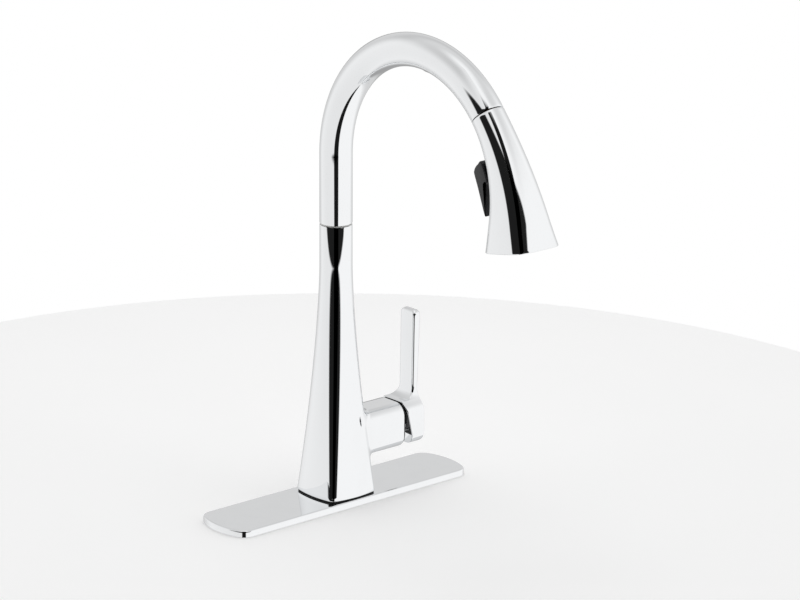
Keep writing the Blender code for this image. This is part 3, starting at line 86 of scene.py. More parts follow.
# Sizes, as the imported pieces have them
GAP = 0.0003
SLIDE_GAP = 0.0004
PLATE_LENGTH, PLATE_WIDTH, PLATE_TOP = 0.2570, 0.0587, 0.0060
PLATE_WALL, PLATE_CORNER, PLATE_END_RADIUS, PLATE_EDGE = 0.0016, 0.0120, 0.0600, 0.0015
DECK_HOLE, PLATE_BORDER = 0.0170, 0.0008
BODY_FOOT, BODY_TOP, TAPER_TOP, TAPER_POWER = 0.0075, 0.2400, 0.2050, 1.5
BODY_HALF, BODY_SIDE_RADIUS, BODY_CORNER = 0.0272, 0.0920, 0.0070
BODY_WALL, BODY_FLOOR, BODY_BORE = 0.0030, 0.0060, 0.0111
BOSS_HEIGHT, BOSS_END, BOSS_CORNER = 0.0545, 0.0605, 0.0110
BOSS_HALF_Y, BOSS_HALF_Z = 0.0182, 0.0195
BOSS_FILLET, BOSS_SIDE_SHARE, BOSS_SINK = 0.0090, 0.16, 0.0006
VALVE_BORE, VALVE_BORE_START = 0.0160, -0.0148
SPOUT_RADIUS, SPOUT_BORE, SPOUT_FOOT, RISER_TOP = 0.0137, 0.0122, 0.2412, 0.3000
ARC_RADIUS, ARC_ANGLE = 0.1040, 140.0
VENT_ANGLE, VENT_HALF_LENGTH, VENT_HALF_WIDTH, VENT_PROUD = 97.0, 0.0062, 0.0030, 0.0006
SCREW_HOLE_PLACE, SCREW_HOLE_START, SCREW_HOLE_RADIUS = 0.2560, 0.0108, 0.0021
VENT_SINK, VENT_EDGE, VENT_CORNER_SHARE = 0.0004, 0.0006, 0.96
PIVOT, DOME_RADIUS, DOME_WALL, DOME_OPENING = 0.0560, 0.0159, 0.0012, 0.0108
DOME_START, DOME_FOOT = 0.0622, 0.0598
HANDLE_EASE, RIM_TOP, RIM_FOOT, HANDLE_END = 0.0006, 0.0625, 0.0715, 0.0834
LEVER_TOP, LEVER_HALF, LEVER_OUTER, LEVER_INNER = 0.1510, 0.0092, 0.0866, 0.0774
LEVER_LEAN, LEVER_FILLET, LEVER_ROUND = 0.0010, 0.0095, 0.0042
LEVER_NECK, LEVER_FOOT_SOFT, LEVER_TIP_SOFT = 0.0060, 0.0010, 0.0026
STEM_HALF, STEM_END, SOCKET_DEPTH, GRUB_PLACE = 0.0043, 0.0798, 0.0135, 0.0763
PLUG_BORE, GRUB_BORE, PLUG_DEPTH, GRUB_STOP = 0.0032, 0.0023, 0.0026, 0.0030
HEAD_LENGTH, HEAD_SEAM, HEAD_STRAIGHT, HEAD_ANGLE = 0.1094, 0.0006, 0.0200, 169.5
HEAD_HALF, HEAD_SIDE_RADIUS, HEAD_CORNER, HEAD_POWER = 0.0243, 0.2000, 0.0125, 1.79
HEAD_WALL, CORE_GAP, FACE_RECESS, FACE_THICKNESS = 0.0020, 0.0005, 0.0016, 0.0060
MAT_THICKNESS, NOZZLE_RADIUS, NOZZLE_PROUD, NOZZLE_TAPER = 0.0032, 0.0009, 0.0008, 0.7
NOZZLE_RINGS = ((0.0131, 8), (0.0180, 14))
AERATOR_RADIUS, AERATOR_WALL, AERATOR_LENGTH, AERATOR_PROUD = 0.0089, 0.0016, 0.0175, 0.0008
SCREEN_PLACE, SCREEN_THICKNESS, SCREEN_RIM = 0.0040, 0.0015, 0.0006
AERATOR_EASE = 0.0006
MESH_SPACING, WIRE_RADIUS = 0.00115, 0.00022
OUTLET_REACH = 0.0300  # how far in the aerator's bore is cut
PIVOT_ALONG, PIVOT_OUT, PIN_HOLE, ROOT_HALF = 0.0378, -0.0059, 0.0014, 0.0058
TRIGGER_HALF, TRIGGER_EDGE = 0.0080, 0.0009
WINDOW_START, WINDOW_END, WINDOW_ROOM = 0.0336, 0.0520, 0.0006
ROOT_PAD = -0.0039
BLADE_OUTLINE = (
    (0.0326, 0.0058), (0.0328, 0.0108), (0.0343, 0.0145), (0.0366, 0.0169), (0.0396, 0.0181),
    (0.0540, 0.0184), (0.0700, 0.0180), (0.0780, 0.0173), (0.0812, 0.0166), (0.0818, 0.0159),
    (0.0806, 0.0152), (0.0740, 0.0143), (0.0620, 0.0125), (0.0532, 0.0107), (0.0510, 0.0087),
    (0.0505, 0.0058),
)
ROOT_OUTLINE = (
    (0.0355, 0.0078), (0.0355, -0.0032), (0.0357, -0.0065), (0.0368, -0.0078),
    (0.0388, -0.0078), (0.0399, -0.0065), (0.0404, ROOT_PAD), (0.0495, ROOT_PAD),
    (0.0495, 0.0078),
)
HOSE_RADIUS, HOSE_END, HOSE_LEAD, HOSE_LEAVE = 0.0056, -0.0920, 0.0030, 105.0
HOSE_STEPS = 32
DRAWN_BEFORE, DRAWN_AFTER = 0.0005, 0.0002  # clear of the lead-in and of the ferrule
PULL = 0.45  # how far the spray head pulls out
FERRULE_START, FERRULE_LENGTH, FERRULE_RADIUS = 0.0060, 0.0140, 0.0070
CRIMP_DEPTH, CRIMP_WAVES, CRIMP_START, FERRULE_EDGE = 0.00045, 7, 0.1, 0.0003
SHANK_RADIUS, SHANK_BORE, SHANK_END, SHANK_TOP = 0.0160, 0.0146, -0.0800, 0.0132
THREAD_PITCH, THREAD_DEPTH = 0.0015, 0.0006
# A thread's wave times its gain, less its flat, and how far its ends sink of its depth
THREAD_GAIN, THREAD_FLAT, THREAD_END = 1.3, 0.15, 0.6
# A hexagon's blunt corner and its end face as shares of its radius, and its end's cone
HEX_BLUNT, HEX_FACE, HEX_FACE_LESS, HEX_SLOPE = 0.985, 0.955, 0.0008, 1.9
HEX_FIRST, HEX_SECOND = 0.0005, 0.0012
NUT_TOP, NUT_FLANGE, NUT_HEIGHT, NUT_RADIUS = -0.0398, 0.0040, 0.0120, 0.0262
NUT_BORE, HEX_RADIUS = 0.0164, 0.0194
JACK_PLACE, JACK_RADIUS, JACK_TIP, JACK_LENGTH = 0.02205, 0.0020, -0.0356, 0.0270
JACK_HEAD, JACK_HEAD_LENGTH = 0.0035, 0.0030
JACK_PITCH, JACK_THREAD, JACK_SLOT_HALF, JACK_SLOT_DEPTH = 0.0007, 0.0003, 0.0005, 0.0014
FITTING_RADIUS, FITTING_LENGTH, TUBE_RADIUS, TUBE_WALL = 0.0064, 0.0160, 0.0032, 0.0008
# The fitting's seat as a share of its length, and its nose and neck of its radius
FITTING_SEAT, FITTING_NOSE, FITTING_NECK, FITTING_EDGE = 0.4, 0.80, 0.86, 0.0004
OUTSIDE = 0.0050  # how far a cutter reaches past what it cuts
EDGE = 0.0005  # the small round of a machined or moulded edge
EASE_SHARE = 0.4  # the most of an edge that its eased corner takes


# Shader values


class Shade:
    """One output of a node tree. Arithmetic on it adds Math nodes to the tree."""

    def __init__(self, tree, socket=None):
        self.tree = tree
        self.socket = socket

    def node(self, kind, inputs=None, output=0, **settings):
        """A node with these settings, input values or links, and one of its outputs."""
        new = self.tree.nodes.new(kind)
        for name, value in settings.items():
            setattr(new, name, value)
        for key, value in (inputs or {}).items():
            if isinstance(value, Shade):
                self.tree.links.new(value.socket, new.inputs[key])
            else:
                new.inputs[key].default_value = value
        return Shade(self.tree, new.outputs[output])

    def math(self, operation, *values):
        return self.node("ShaderNodeMath", dict(enumerate(values)), operation=operation)

    def __add__(self, other):
        return self.math("ADD", self, other)

    def __sub__(self, other):
        return self.math("SUBTRACT", self, other)

    def __rsub__(self, other):
        return self.math("SUBTRACT", other, self)

    def __mul__(self, other):
        return self.math("MULTIPLY", self, other)

    def __abs__(self):
        return self.math("ABSOLUTE", self)

    __radd__ = __add__
    __rmul__ = __mul__

    def fraction(self):
        return self.math("FRACT", self)

    def step(self, low, high):
        """0 below low, 1 above high, and a smooth rise between them."""
        return self.node("ShaderNodeMapRange", {"Value": self, "From Min": low,
                         "From Max": high}, interpolation_type="SMOOTHSTEP")

    def mix(self, first, second):
        """A colour: the first where this value is 0, the second where it is 1."""
        return self.node("ShaderNodeMix", {"Factor": self, 6: first, 7: second}, output=2,
                         data_type="RGBA")


def color(red, green, blue):
    return (red, green, blue, 1.0)


class Finish:
    """A material while it is made: its shader, and where on the piece a point is."""

    def __init__(self, name, base, roughness, **inputs):
        self.material = bpy.data.materials.new(name)
        self.material.use_nodes = True
        self.material.diffuse_color = base
        self.tree = self.material.node_tree
        self.shader = self.tree.nodes["Principled BSDF"]
        self.shade = Shade(self.tree)
        self.place = self.shade.node("ShaderNodeTexCoord", output="Object")
        self.set("Base Color", base)
        self.set("Roughness", roughness)
        for key, value in inputs.items():
            self.set(key.replace("_", " "), value)

    def set(self, key, value):
        if isinstance(value, Shade):
            self.tree.links.new(value.socket, self.shader.inputs[key])
        else:
            self.shader.inputs[key].default_value = value

    def noise(self, scale, detail=2.0, stretch=(1.0, 1.0, 1.0), roughness=0.5):
        """Noise on the piece's own coordinates, scaled per metre."""
        place = self.shade.node("ShaderNodeMapping", {"Vector": self.place, "Scale": stretch})
        return self.shade.node("ShaderNodeTexNoise", {
            "Vector": place, "Scale": scale, "Detail": detail, "Roughness": roughness})

    def bump(self, height, distance, strength=1.0):
        self.set("Normal", self.shade.node("ShaderNodeBump", {
            "Height": height, "Distance": distance, "Strength": strength}, output="Normal"))


def chrome():
    """Bright plate: a mirror with faint wipe marks, a few hairline scratches and the long
    soft ripple that plating over a polished casting leaves."""
    looks = settings()
    base = color(*looks.chrome_color)
    finish = Finish("chrome_finish", base, looks.chrome_roughness, Metallic=1.0)
    wipe = finish.noise(38.0, 4.0, (1.0, 1.0, 0.35)).step(0.42, 0.75)
    hair = finish.noise(700.0, 2.0, (1.0, 1.0, 0.03), 0.7).step(0.66, 0.82)
    finish.set("Roughness", looks.chrome_roughness + 0.035 * wipe + 0.05 * hair * wipe)
    finish.set("Base Color", (0.5 * wipe).mix(base, color(*(0.97 * c for c in base[:3]))))
    finish.bump(finish.noise(26.0, 1.0), 0.00001)
    return finish.material


def machined(name, base, roughness, tint):
    """Turned or milled metal: fine tool rings, dull patches and a tint that wanders."""
    finish = Finish(name, base, roughness, Metallic=1.0)
    tool = finish.noise(900.0, 2.0, (0.12, 0.12, 1.0), 0.6)
    patch = finish.noise(60.0, 4.0)
    finish.set("Base Color", patch.step(0.35, 0.75).mix(base, tint))
    finish.set("Roughness", (roughness - 0.06) + 0.10 * tool + 0.12 * patch.step(0.45, 0.8))
    finish.bump(tool, 0.00006, 0.5)
    return finish.material


def moulded(name, base, roughness, grain, depth, tint=None, **inputs):
    """Moulded plastic or rubber: a fine spark-eroded grain, and a slight uneven sheen."""
    finish = Finish(name, base, roughness, **inputs)
    texture = finish.noise(grain, 3.0, roughness=0.6)
    cloud = finish.noise(45.0, 3.0).step(0.3, 0.8)
    tint = tint or color(*(min(1.0, 1.25 * c + 0.004) for c in base[:3]))
    finish.set("Base Color", (0.6 * cloud).mix(base, tint))
    finish.set("Roughness", roughness + 0.08 * cloud - 0.05 * texture)
    finish.bump(texture, depth, 0.6)
    return finish.material


def braid():
    """Diagonal nylon strands that pass over and under each other, on the hose's own map:
    u runs once round it, and v along it in metres."""
    strands, lead = 12.0, 340.0
    finish = Finish("braid_finish", color(*COLOR_OF["braid"]), 0.5)
    shade = finish.shade
    around = shade.node("ShaderNodeTexCoord", output="UV")
    u = shade.node("ShaderNodeSeparateXYZ", {"Vector": around}, output=0)
    v = shade.node("ShaderNodeSeparateXYZ", {"Vector": around}, output=1)
    right, left = u * strands + v * lead, u * strands - v * lead + 64.0 * strands
    ridge_right = 1.0 - abs(2.0 * right.fraction() - 1.0)
    ridge_left = 1.0 - abs(2.0 * left.fraction() - 1.0)
    whole = right.math("FLOOR", right) + left.math("FLOOR", left)
    over = (0.5 * whole).fraction().step(0.2, 0.3)
    height = over * ridge_right + (1.0 - over) * ridge_left
    # Painted shade: the colour falls to near black towards each strand's edges and in the crevices between
    # strands.
    dark = color(0.055, 0.057, 0.06)
    finish.set("Base Color", height.step(0.05, 0.7).mix(dark, color(*COLOR_OF["braid"])))
    finish.set("Roughness", 0.62 - 0.25 * height)
    finish.bump(height, 0.0003, 0.8)
    return finish.material


def ceramic():
    """Lapped alumina: near white and glossy, with a faint speckle."""
    base = color(*COLOR_OF["ceramic"])
    finish = Finish("ceramic_finish", base, 0.16)
    speck = finish.noise(1800.0, 2.0).step(0.62, 0.75)
    finish.set("Base Color", (0.25 * speck).mix(base, color(0.6, 0.57, 0.5)))
    finish.set("Roughness", 0.12 + 0.1 * finish.noise(120.0, 3.0))
    return finish.material


def make_materials():
    """Every finish, by the record's slot names."""
    def of(slot):
        return color(*COLOR_OF[slot])

    return {
        "chrome": chrome(),
        "brass": machined("brass_finish", color(0.72, 0.52, 0.25), 0.30,
                          color(0.60, 0.40, 0.19)),
        "steel": machined("steel_finish", of("steel"), 0.32, color(0.50, 0.51, 0.53)),
        "magnet_black": moulded("magnet_finish", of("magnet_black"), 0.42, 1500.0, 0.00004,
                                Metallic=0.6),
        "black_plastic": moulded("black_plastic_finish", color(0.014, 0.014, 0.016), 0.36,
                                 2600.0, 0.00005, color(0.022, 0.022, 0.025)),
        # Near-black gloss. On the bonnet dome it is painted shade: it stands for the chrome dome in the
        # shaded gap under the handle.
        "gloss_black": moulded("gloss_black_and_painted_shade_finish", color(0.006, 0.006, 0.007), 0.16,
                               500.0, 0.00001, color(0.009, 0.009, 0.010)),
        "grey_plastic": moulded("grey_plastic_finish", of("grey_plastic"), 0.45, 2200.0,
                                0.00004),
        "white_plastic": moulded("white_plastic_finish", of("white_plastic"), 0.38, 2200.0,
                                 0.00003, color(0.74, 0.73, 0.70)),
        "black_rubber": moulded("black_rubber_finish", color(0.018, 0.018, 0.018), 0.62,
                                3000.0, 0.00006, color(0.03, 0.03, 0.03)),
        "grey_silicone": moulded("grey_silicone_finish", of("grey_silicone"), 0.55, 1800.0,
                                 0.00004),
        "ceramic": ceramic(),
        "braid": braid(),
    }


def settings():
    return bpy.context.scene.faucet


MATERIALS = {}


# Surfaces


class Plane:
    """A drawing plane: its middle, two directions across, and the way it faces."""

    def __init__(self, middle, across, up):
        self.middle = np.array(middle, float)
        self.across = np.array(across, float)
        self.up = np.array(up, float)
        self.facing = np.cross(self.across, self.up)

    def ring(self, section, ahead=0.0):
        """The (across, up) points of a section in the world, on this plane or ahead."""
        section = np.asarray(section, float)
        return (self.middle + ahead * self.facing + section[..., :1] * self.across
                + section[..., 1:2] * self.up)

    def moved(self, across, up):
        return Plane(self.ring([(across, up)])[0], self.across, self.up)


def level(height, x=0.0, y=0.0):
    return Plane((x, y, height), (1, 0, 0), (0, 1, 0))


def valve_plane(x):
    return Plane((x, 0, BOSS_HEIGHT), (0, 1, 0), (0, 0, 1))


def bend_plane(place, degrees):
    turn = math.radians(degrees)
    return Plane(place, (1, 0, 0), (0, -math.cos(turn), -math.sin(turn)))


def angles(steps):
    return np.arange(steps) * 2 * math.pi / steps


def circle(radius, steps=64):
    turn = angles(steps)
    return radius * np.column_stack((np.cos(turn), np.sin(turn)))


def turned(plane, profile, steps=72):
    """A surface of revolution: (distance ahead of the plane, radius) pairs, turned about
    the plane's facing direction. The radius may vary round the turn."""
    ahead = np.array([row[0] for row in profile], float)[:, None, None]
    radius = np.array([np.broadcast_to(row[1], steps) for row in profile])[:, :, None]
    turn = angles(steps)[None, :, None]
    return (plane.middle + ahead * plane.facing
            + radius * (np.cos(turn) * plane.across + np.sin(turn) * plane.up))


def eased(profile, ease, steps=3):
    """The closed profile with each corner rounded by a quadratic curve that starts and
    ends at the ease from the corner, or at EASE_SHARE of a shorter edge."""
    points = np.array(profile, float)
    before, after = np.roll(points, 1, 0) - points, np.roll(points, -1, 0) - points
    start, end = (points + side * np.minimum(EASE_SHARE, ease / np.maximum(
        np.linalg.norm(side, axis=1), 1e-9))[:, None] for side in (before, after))
    t = np.linspace(0, 1, steps + 1)[None, :, None]
    curve = ((1 - t) ** 2 * start[:, None] + 2 * t * (1 - t) * points[:, None]
             + t**2 * end[:, None])
    return curve.reshape(-1, 2)


def skin(rings, closed=False):
    """Quads over a grid of rings. An open skin gets flat ends; a closed one runs round
    from its last ring to its first."""
    rings = np.asarray(rings, float)
    index = np.arange(rings.shape[0] * rings.shape[1]).reshape(rings.shape[:2])
    low, high = (index, np.roll(index, -1, 0)) if closed else (index[:-1], index[1:])
    quads = np.stack((low, np.roll(low, -1, 1), np.roll(high, -1, 1), high), -1)
    faces = quads.reshape(-1, 4).tolist()
    if not closed:
        faces += [index[0][::-1].tolist(), index[-1].tolist()]
    return rings.reshape(-1, 3), faces


def shell(name, points, faces, braid_map=None):
    """An object of these faces, all turned outwards, at the origin. A braid map holds
    the u and v of each face's corners."""
    mesh = bpy.data.meshes.new(name)
    mesh.from_pydata(np.asarray(points).tolist(), [], faces)
    if braid_map is not None:
        mesh.uv_layers.new(name="braid").data.foreach_set("uv", braid_map.ravel())
    work = bmesh.new()
    work.from_mesh(mesh)
    bmesh.ops.recalc_face_normals(work, faces=work.faces)
    work.to_mesh(mesh)
    work.free()
    piece = bpy.data.objects.new(name, mesh)
    bpy.context.scene.collection.objects.link(piece)
    return piece


def combine(target, cutter, operation):
    """Cut the target with the cutter, or join the two, for good."""
    modifier = target.modifiers.new(operation, "BOOLEAN")
    modifier.operation = operation
    modifier.solver = "MANIFOLD"
    modifier.object = cutter
    graph = bpy.context.evaluated_depsgraph_get()
    result = bpy.data.meshes.new_from_object(target.evaluated_get(graph))
    target.modifiers.clear()
    target.data = result
    bpy.data.objects.remove(cutter)


def cut(target, rings):
    combine(target, shell("cutter", *skin(rings)), "DIFFERENCE")


def join(target, rings):
    combine(target, shell("cutter", *skin(rings)), "UNION")


def merged(name, skins):
    """Several separate skins as one object."""
    points, faces, count = [], [], 0
    for part_points, part_faces in skins:
        points.append(part_points)
        faces += [[corner + count for corner in face] for face in part_faces]
        count += len(part_points)
    return shell(name, np.vstack(points), faces)


def finished(piece, node, sharp=38.0):
    """The piece takes over a node: its finish, its body and its place in the record. A
    blended piece has its two bodies already."""
    slot = SLOT_OF[node]
    piece.data.materials.clear()
    piece.data.materials.append(MATERIALS[slot])
    piece.data.shade_smooth()
    piece.data.set_sharp_from_angle(angle=math.radians(sharp))
    if "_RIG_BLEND" not in piece.data.attributes:
        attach(piece, BODY_OF[node])
    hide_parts(node)
    return piece


def rod(plane, start, end, radius, steps=48):
    return turned(plane, ((start, radius), (end, radius)), steps)


def ringed(node, plane, profile, ease=EDGE, steps=72):
    """A turned ring, bush or tube in place of a node, with its edges eased."""
    return finished(shell(f"{node}_fine", *skin(turned(plane, eased(profile, ease), steps),
                                                 closed=True)), node)


def tube_profile(start, end, outer, inner):
    return ((start, outer), (end, outer), (end, inner), (start, inner))


def rounded_rectangle(half_across, half_up, corner, steps=12, side_steps=1):
    """A rectangle with arcs for corners, and points along its sides."""
    points = []
    for quarter in range(4):
        turn = math.pi / 2 * (quarter + np.arange(steps + 1) / steps)
        side = np.array((1 if quarter in (0, 3) else -1, 1 if quarter < 2 else -1))
        centre = side * (half_across - corner, half_up - corner)
        points.append(centre + corner * np.column_stack((np.cos(turn), np.sin(turn))))
    corners = np.array(points)
    share = (np.arange(1, side_steps) / side_steps)[:, None]
    sides = [last + (first - last) * share
             for last, first in zip(corners[:, -1], np.roll(corners[:, 0], -1, 0))]
    return np.vstack([np.vstack(pair) for pair in zip(corners, sides)])


def swollen_limit(middle, side_radius, corner):
    """The corner arc's centre, and the direction at which a side meets its corner."""
    side_centre, reach = middle - side_radius, side_radius - corner
    centre = (side_centre + math.sqrt(2 * reach**2 - side_centre**2)) / 2
    return centre, math.asin(centre / reach)


def section_directions(limit, side_steps=14, corner_steps=10):
    side = np.linspace(-limit, limit, side_steps + 1)
    corner = np.linspace(limit, math.pi / 2 - limit, corner_steps + 1)[1:-1]
    quarter = np.concatenate((side, corner))
    return np.concatenate([quarter + k * math.pi / 2 for k in range(4)])


def grown_square(direction, share, middle, side_radius, corner, inset=0.0):
    """A circle of the spout's radius that has grown a share of the way into a square with
    arched sides and round corners, less an inset. Share and inset may be columns."""
    quarter = np.round(direction / (math.pi / 2))
    turn = quarter * math.pi / 2
    local = direction - turn
    centre, limit = swollen_limit(middle, side_radius, corner)
    on_side = np.abs(local) <= limit + 1e-9
    x = np.where(on_side, middle - side_radius + side_radius * np.cos(local),
                 centre + corner * np.cos(local))
    y = np.where(on_side, side_radius * np.sin(local),
                 np.sign(local) * centre + corner * np.sin(local))
    square = np.column_stack((x * np.cos(turn) - y * np.sin(turn),
                              x * np.sin(turn) + y * np.cos(turn)))
    way_out = np.column_stack((np.cos(direction), np.sin(direction)))
    share, inset = np.reshape(share, (-1, 1, 1)), np.reshape(inset, (-1, 1, 1))
    return (1 - share) * SPOUT_RADIUS * way_out + share * square - inset * way_out


def quarter_round(radius, steps=6):
    """(inset, depth) pairs of a quarter round, from the side to the end face."""
    turn = np.linspace(0, math.pi / 2, steps + 1)
    return np.column_stack((radius * (1 - np.cos(turn)), radius * (1 - np.sin(turn))))


# Deck plate


def plate_outline(inset=0.0):
    """The plate from above: straight long sides, arched ends and round corners."""
    end_radius, corner = PLATE_END_RADIUS - inset, PLATE_CORNER - inset
    reach = end_radius - corner
    limit = math.asin((PLATE_WIDTH / 2 - PLATE_CORNER) / reach)
    end_centre = PLATE_LENGTH / 2 - PLATE_END_RADIUS
    end, turn = np.linspace(-limit, limit, 25), np.linspace(limit, math.pi / 2, 13)[1:]
    arch = np.column_stack((end_centre + end_radius * np.cos(end), end_radius * np.sin(end)))
    upper = np.column_stack((end_centre + reach * math.cos(limit) + corner * np.cos(turn),
                             reach * math.sin(limit) + corner * np.sin(turn)))
    right = np.vstack((upper[::-1] * (1, -1), arch, upper))
    return np.vstack((right, -right))


def make_deck_plate():
    """A pressed cover: its outline carried up the side, over a quarter round of
    PLATE_EDGE and in to the top, and hollowed from below."""
    ground = level(0)
    rings = [ground.ring(plate_outline(), z)
             for z in (GAP, PLATE_TOP - PLATE_EDGE - EDGE)]
    rings += [ground.ring(plate_outline(inset), PLATE_TOP - depth)
              for inset, depth in quarter_round(PLATE_EDGE, 8)]
    rings.append(ground.ring(plate_outline(PLATE_EDGE + PLATE_BORDER), PLATE_TOP))
    plate = shell("deck_plate_fine", *skin(rings))
    hollow = plate_outline(PLATE_WALL)
    cut(plate, [ground.ring(hollow, z) for z in (-PLATE_TOP, PLATE_TOP - PLATE_WALL)])
    cut(plate, rod(ground, -PLATE_TOP, 2 * PLATE_TOP, DECK_HOLE))
    finished(plate, "deck_plate", 25.0)


# Body with its valve boss


def body_share(height):
    """How far the section has grown from the top's circle to the square foot."""
    depth = np.clip((TAPER_TOP - np.asarray(height)) / (TAPER_TOP - BODY_FOOT), 0, 1)
    return depth**TAPER_POWER


def body_rings(heights, inset=0.0):
    heights = np.asarray(heights, float)
    limit = swollen_limit(BODY_HALF, BODY_SIDE_RADIUS, BODY_CORNER)[1]
    section = grown_square(section_directions(limit), body_share(heights), BODY_HALF,
                           BODY_SIDE_RADIUS, BODY_CORNER, inset)
    z = np.broadcast_to(heights[:, None, None], (*section.shape[:2], 1))
    return np.concatenate((section, z), 2)


def body_face(across, height):
    """How far out the body's +X side is. Its side is an arc of the grown radius about a
    point on the axis, and beyond that its corner is an arc about a grown centre."""
    share = body_share(height)
    centre, limit = swollen_limit(BODY_HALF, BODY_SIDE_RADIUS, BODY_CORNER)
    flat = (1 - share) * SPOUT_RADIUS + share * BODY_SIDE_RADIUS
    round_ = (1 - share) * SPOUT_RADIUS + share * BODY_CORNER
    aside = np.abs(across)
    direction = np.arcsin(np.clip(aside / flat, 0, 1))
    corner = np.arcsin(np.clip((aside - share * centre) / round_, -1, 1))
    return np.where(direction <= limit,
                    share * (BODY_HALF - BODY_SIDE_RADIUS) + flat * np.cos(direction),
                    share * centre + round_ * np.cos(corner))


def boss_rings():
    """The boss from inside the body to its end. A cove, a quarter arc that is wide above
    and below and shallow at the sides, lifts it out of the body's surface."""
    outline = rounded_rectangle(BOSS_HALF_Y, BOSS_HALF_Z, BOSS_CORNER, 14, 10)
    inner = np.clip(outline, (BOSS_CORNER - BOSS_HALF_Y, BOSS_CORNER - BOSS_HALF_Z),
                    (BOSS_HALF_Y - BOSS_CORNER, BOSS_HALF_Z - BOSS_CORNER))
    way_out = (outline - inner) / BOSS_CORNER
    cove = BOSS_FILLET * (BOSS_SIDE_SHARE + (1 - BOSS_SIDE_SHARE) * np.abs(way_out[:, 1:]))
    rings = [valve_plane(BODY_HALF / 2).ring(outline)]
    for turn in np.linspace(0, math.pi / 2, 15):
        section = outline + way_out * cove * (1 - math.sin(turn))
        ring = valve_plane(0).ring(section)
        ring[:, 0] = (cove[:, 0] * (1 - math.cos(turn))
                      + body_face(section[:, 0], BOSS_HEIGHT + section[:, 1]))
        rings.append(ring)
    rings[1][:, 0] -= BOSS_SINK
    rings += [valve_plane(BOSS_END - depth).ring(outline - way_out * inset)
              for inset, depth in quarter_round(EDGE, 4)]
    return rings


def make_body():
    """The cast body: a round neck that swells down to a square foot, joined to its boss
    and hollowed for the hose, the valve and the shank."""
    ground = level(0)
    heights = [BODY_FOOT, *(BODY_FOOT + np.linspace(EDGE, TAPER_TOP - BODY_FOOT, 70)),
               BODY_TOP - EDGE, BODY_TOP - EDGE / 4, BODY_TOP]
    insets = [EDGE / 2, *np.zeros(71), EDGE / 4, EDGE]
    body = shell("body_shell_fine", *skin(body_rings(heights, insets)))
    join(body, boss_rings())
    floor = BODY_FOOT + BODY_FLOOR
    cut(body, body_rings(np.linspace(floor, TAPER_TOP - OUTSIDE, 24), BODY_WALL))
    neck_start = TAPER_TOP - 2 * BODY_TOP / 10
    cut(body, rod(ground, neck_start, BODY_TOP + OUTSIDE, BODY_BORE))
    cut(body, rod(ground, 0, floor + OUTSIDE, SHANK_RADIUS + GAP))
    cut(body, rod(valve_plane(0), VALVE_BORE_START, BOSS_END + OUTSIDE, VALVE_BORE))
    finished(body, "body_shell", 30.0)


# Bonnet and handle


def make_bonnet():
    """The dome that the handle swings over: a straight skirt, then an arc about the
    point where the stem tilts, up to its opening."""
    skirt = math.sqrt(DOME_RADIUS**2 - (DOME_START - PIVOT) ** 2)
    turns = np.linspace(math.acos((DOME_START - PIVOT) / DOME_RADIUS),
                        math.asin(DOME_OPENING / DOME_RADIUS), 24)

    def arc(radius):
        return [(PIVOT + radius * math.cos(t), radius * math.sin(t)) for t in turns]

    profile = [(DOME_FOOT, skirt), *arc(DOME_RADIUS), *arc(DOME_RADIUS - DOME_WALL)[::-1],
               (DOME_FOOT, skirt - DOME_WALL)]
    dome = shell("bonnet_dome_fine", *skin(turned(valve_plane(0), profile, 96), closed=True))
    # The dome's near-black gloss finish is painted shade, standing for a chrome dome in the shaded gap under
    # the handle.
    finished(dome, "bonnet_dome")


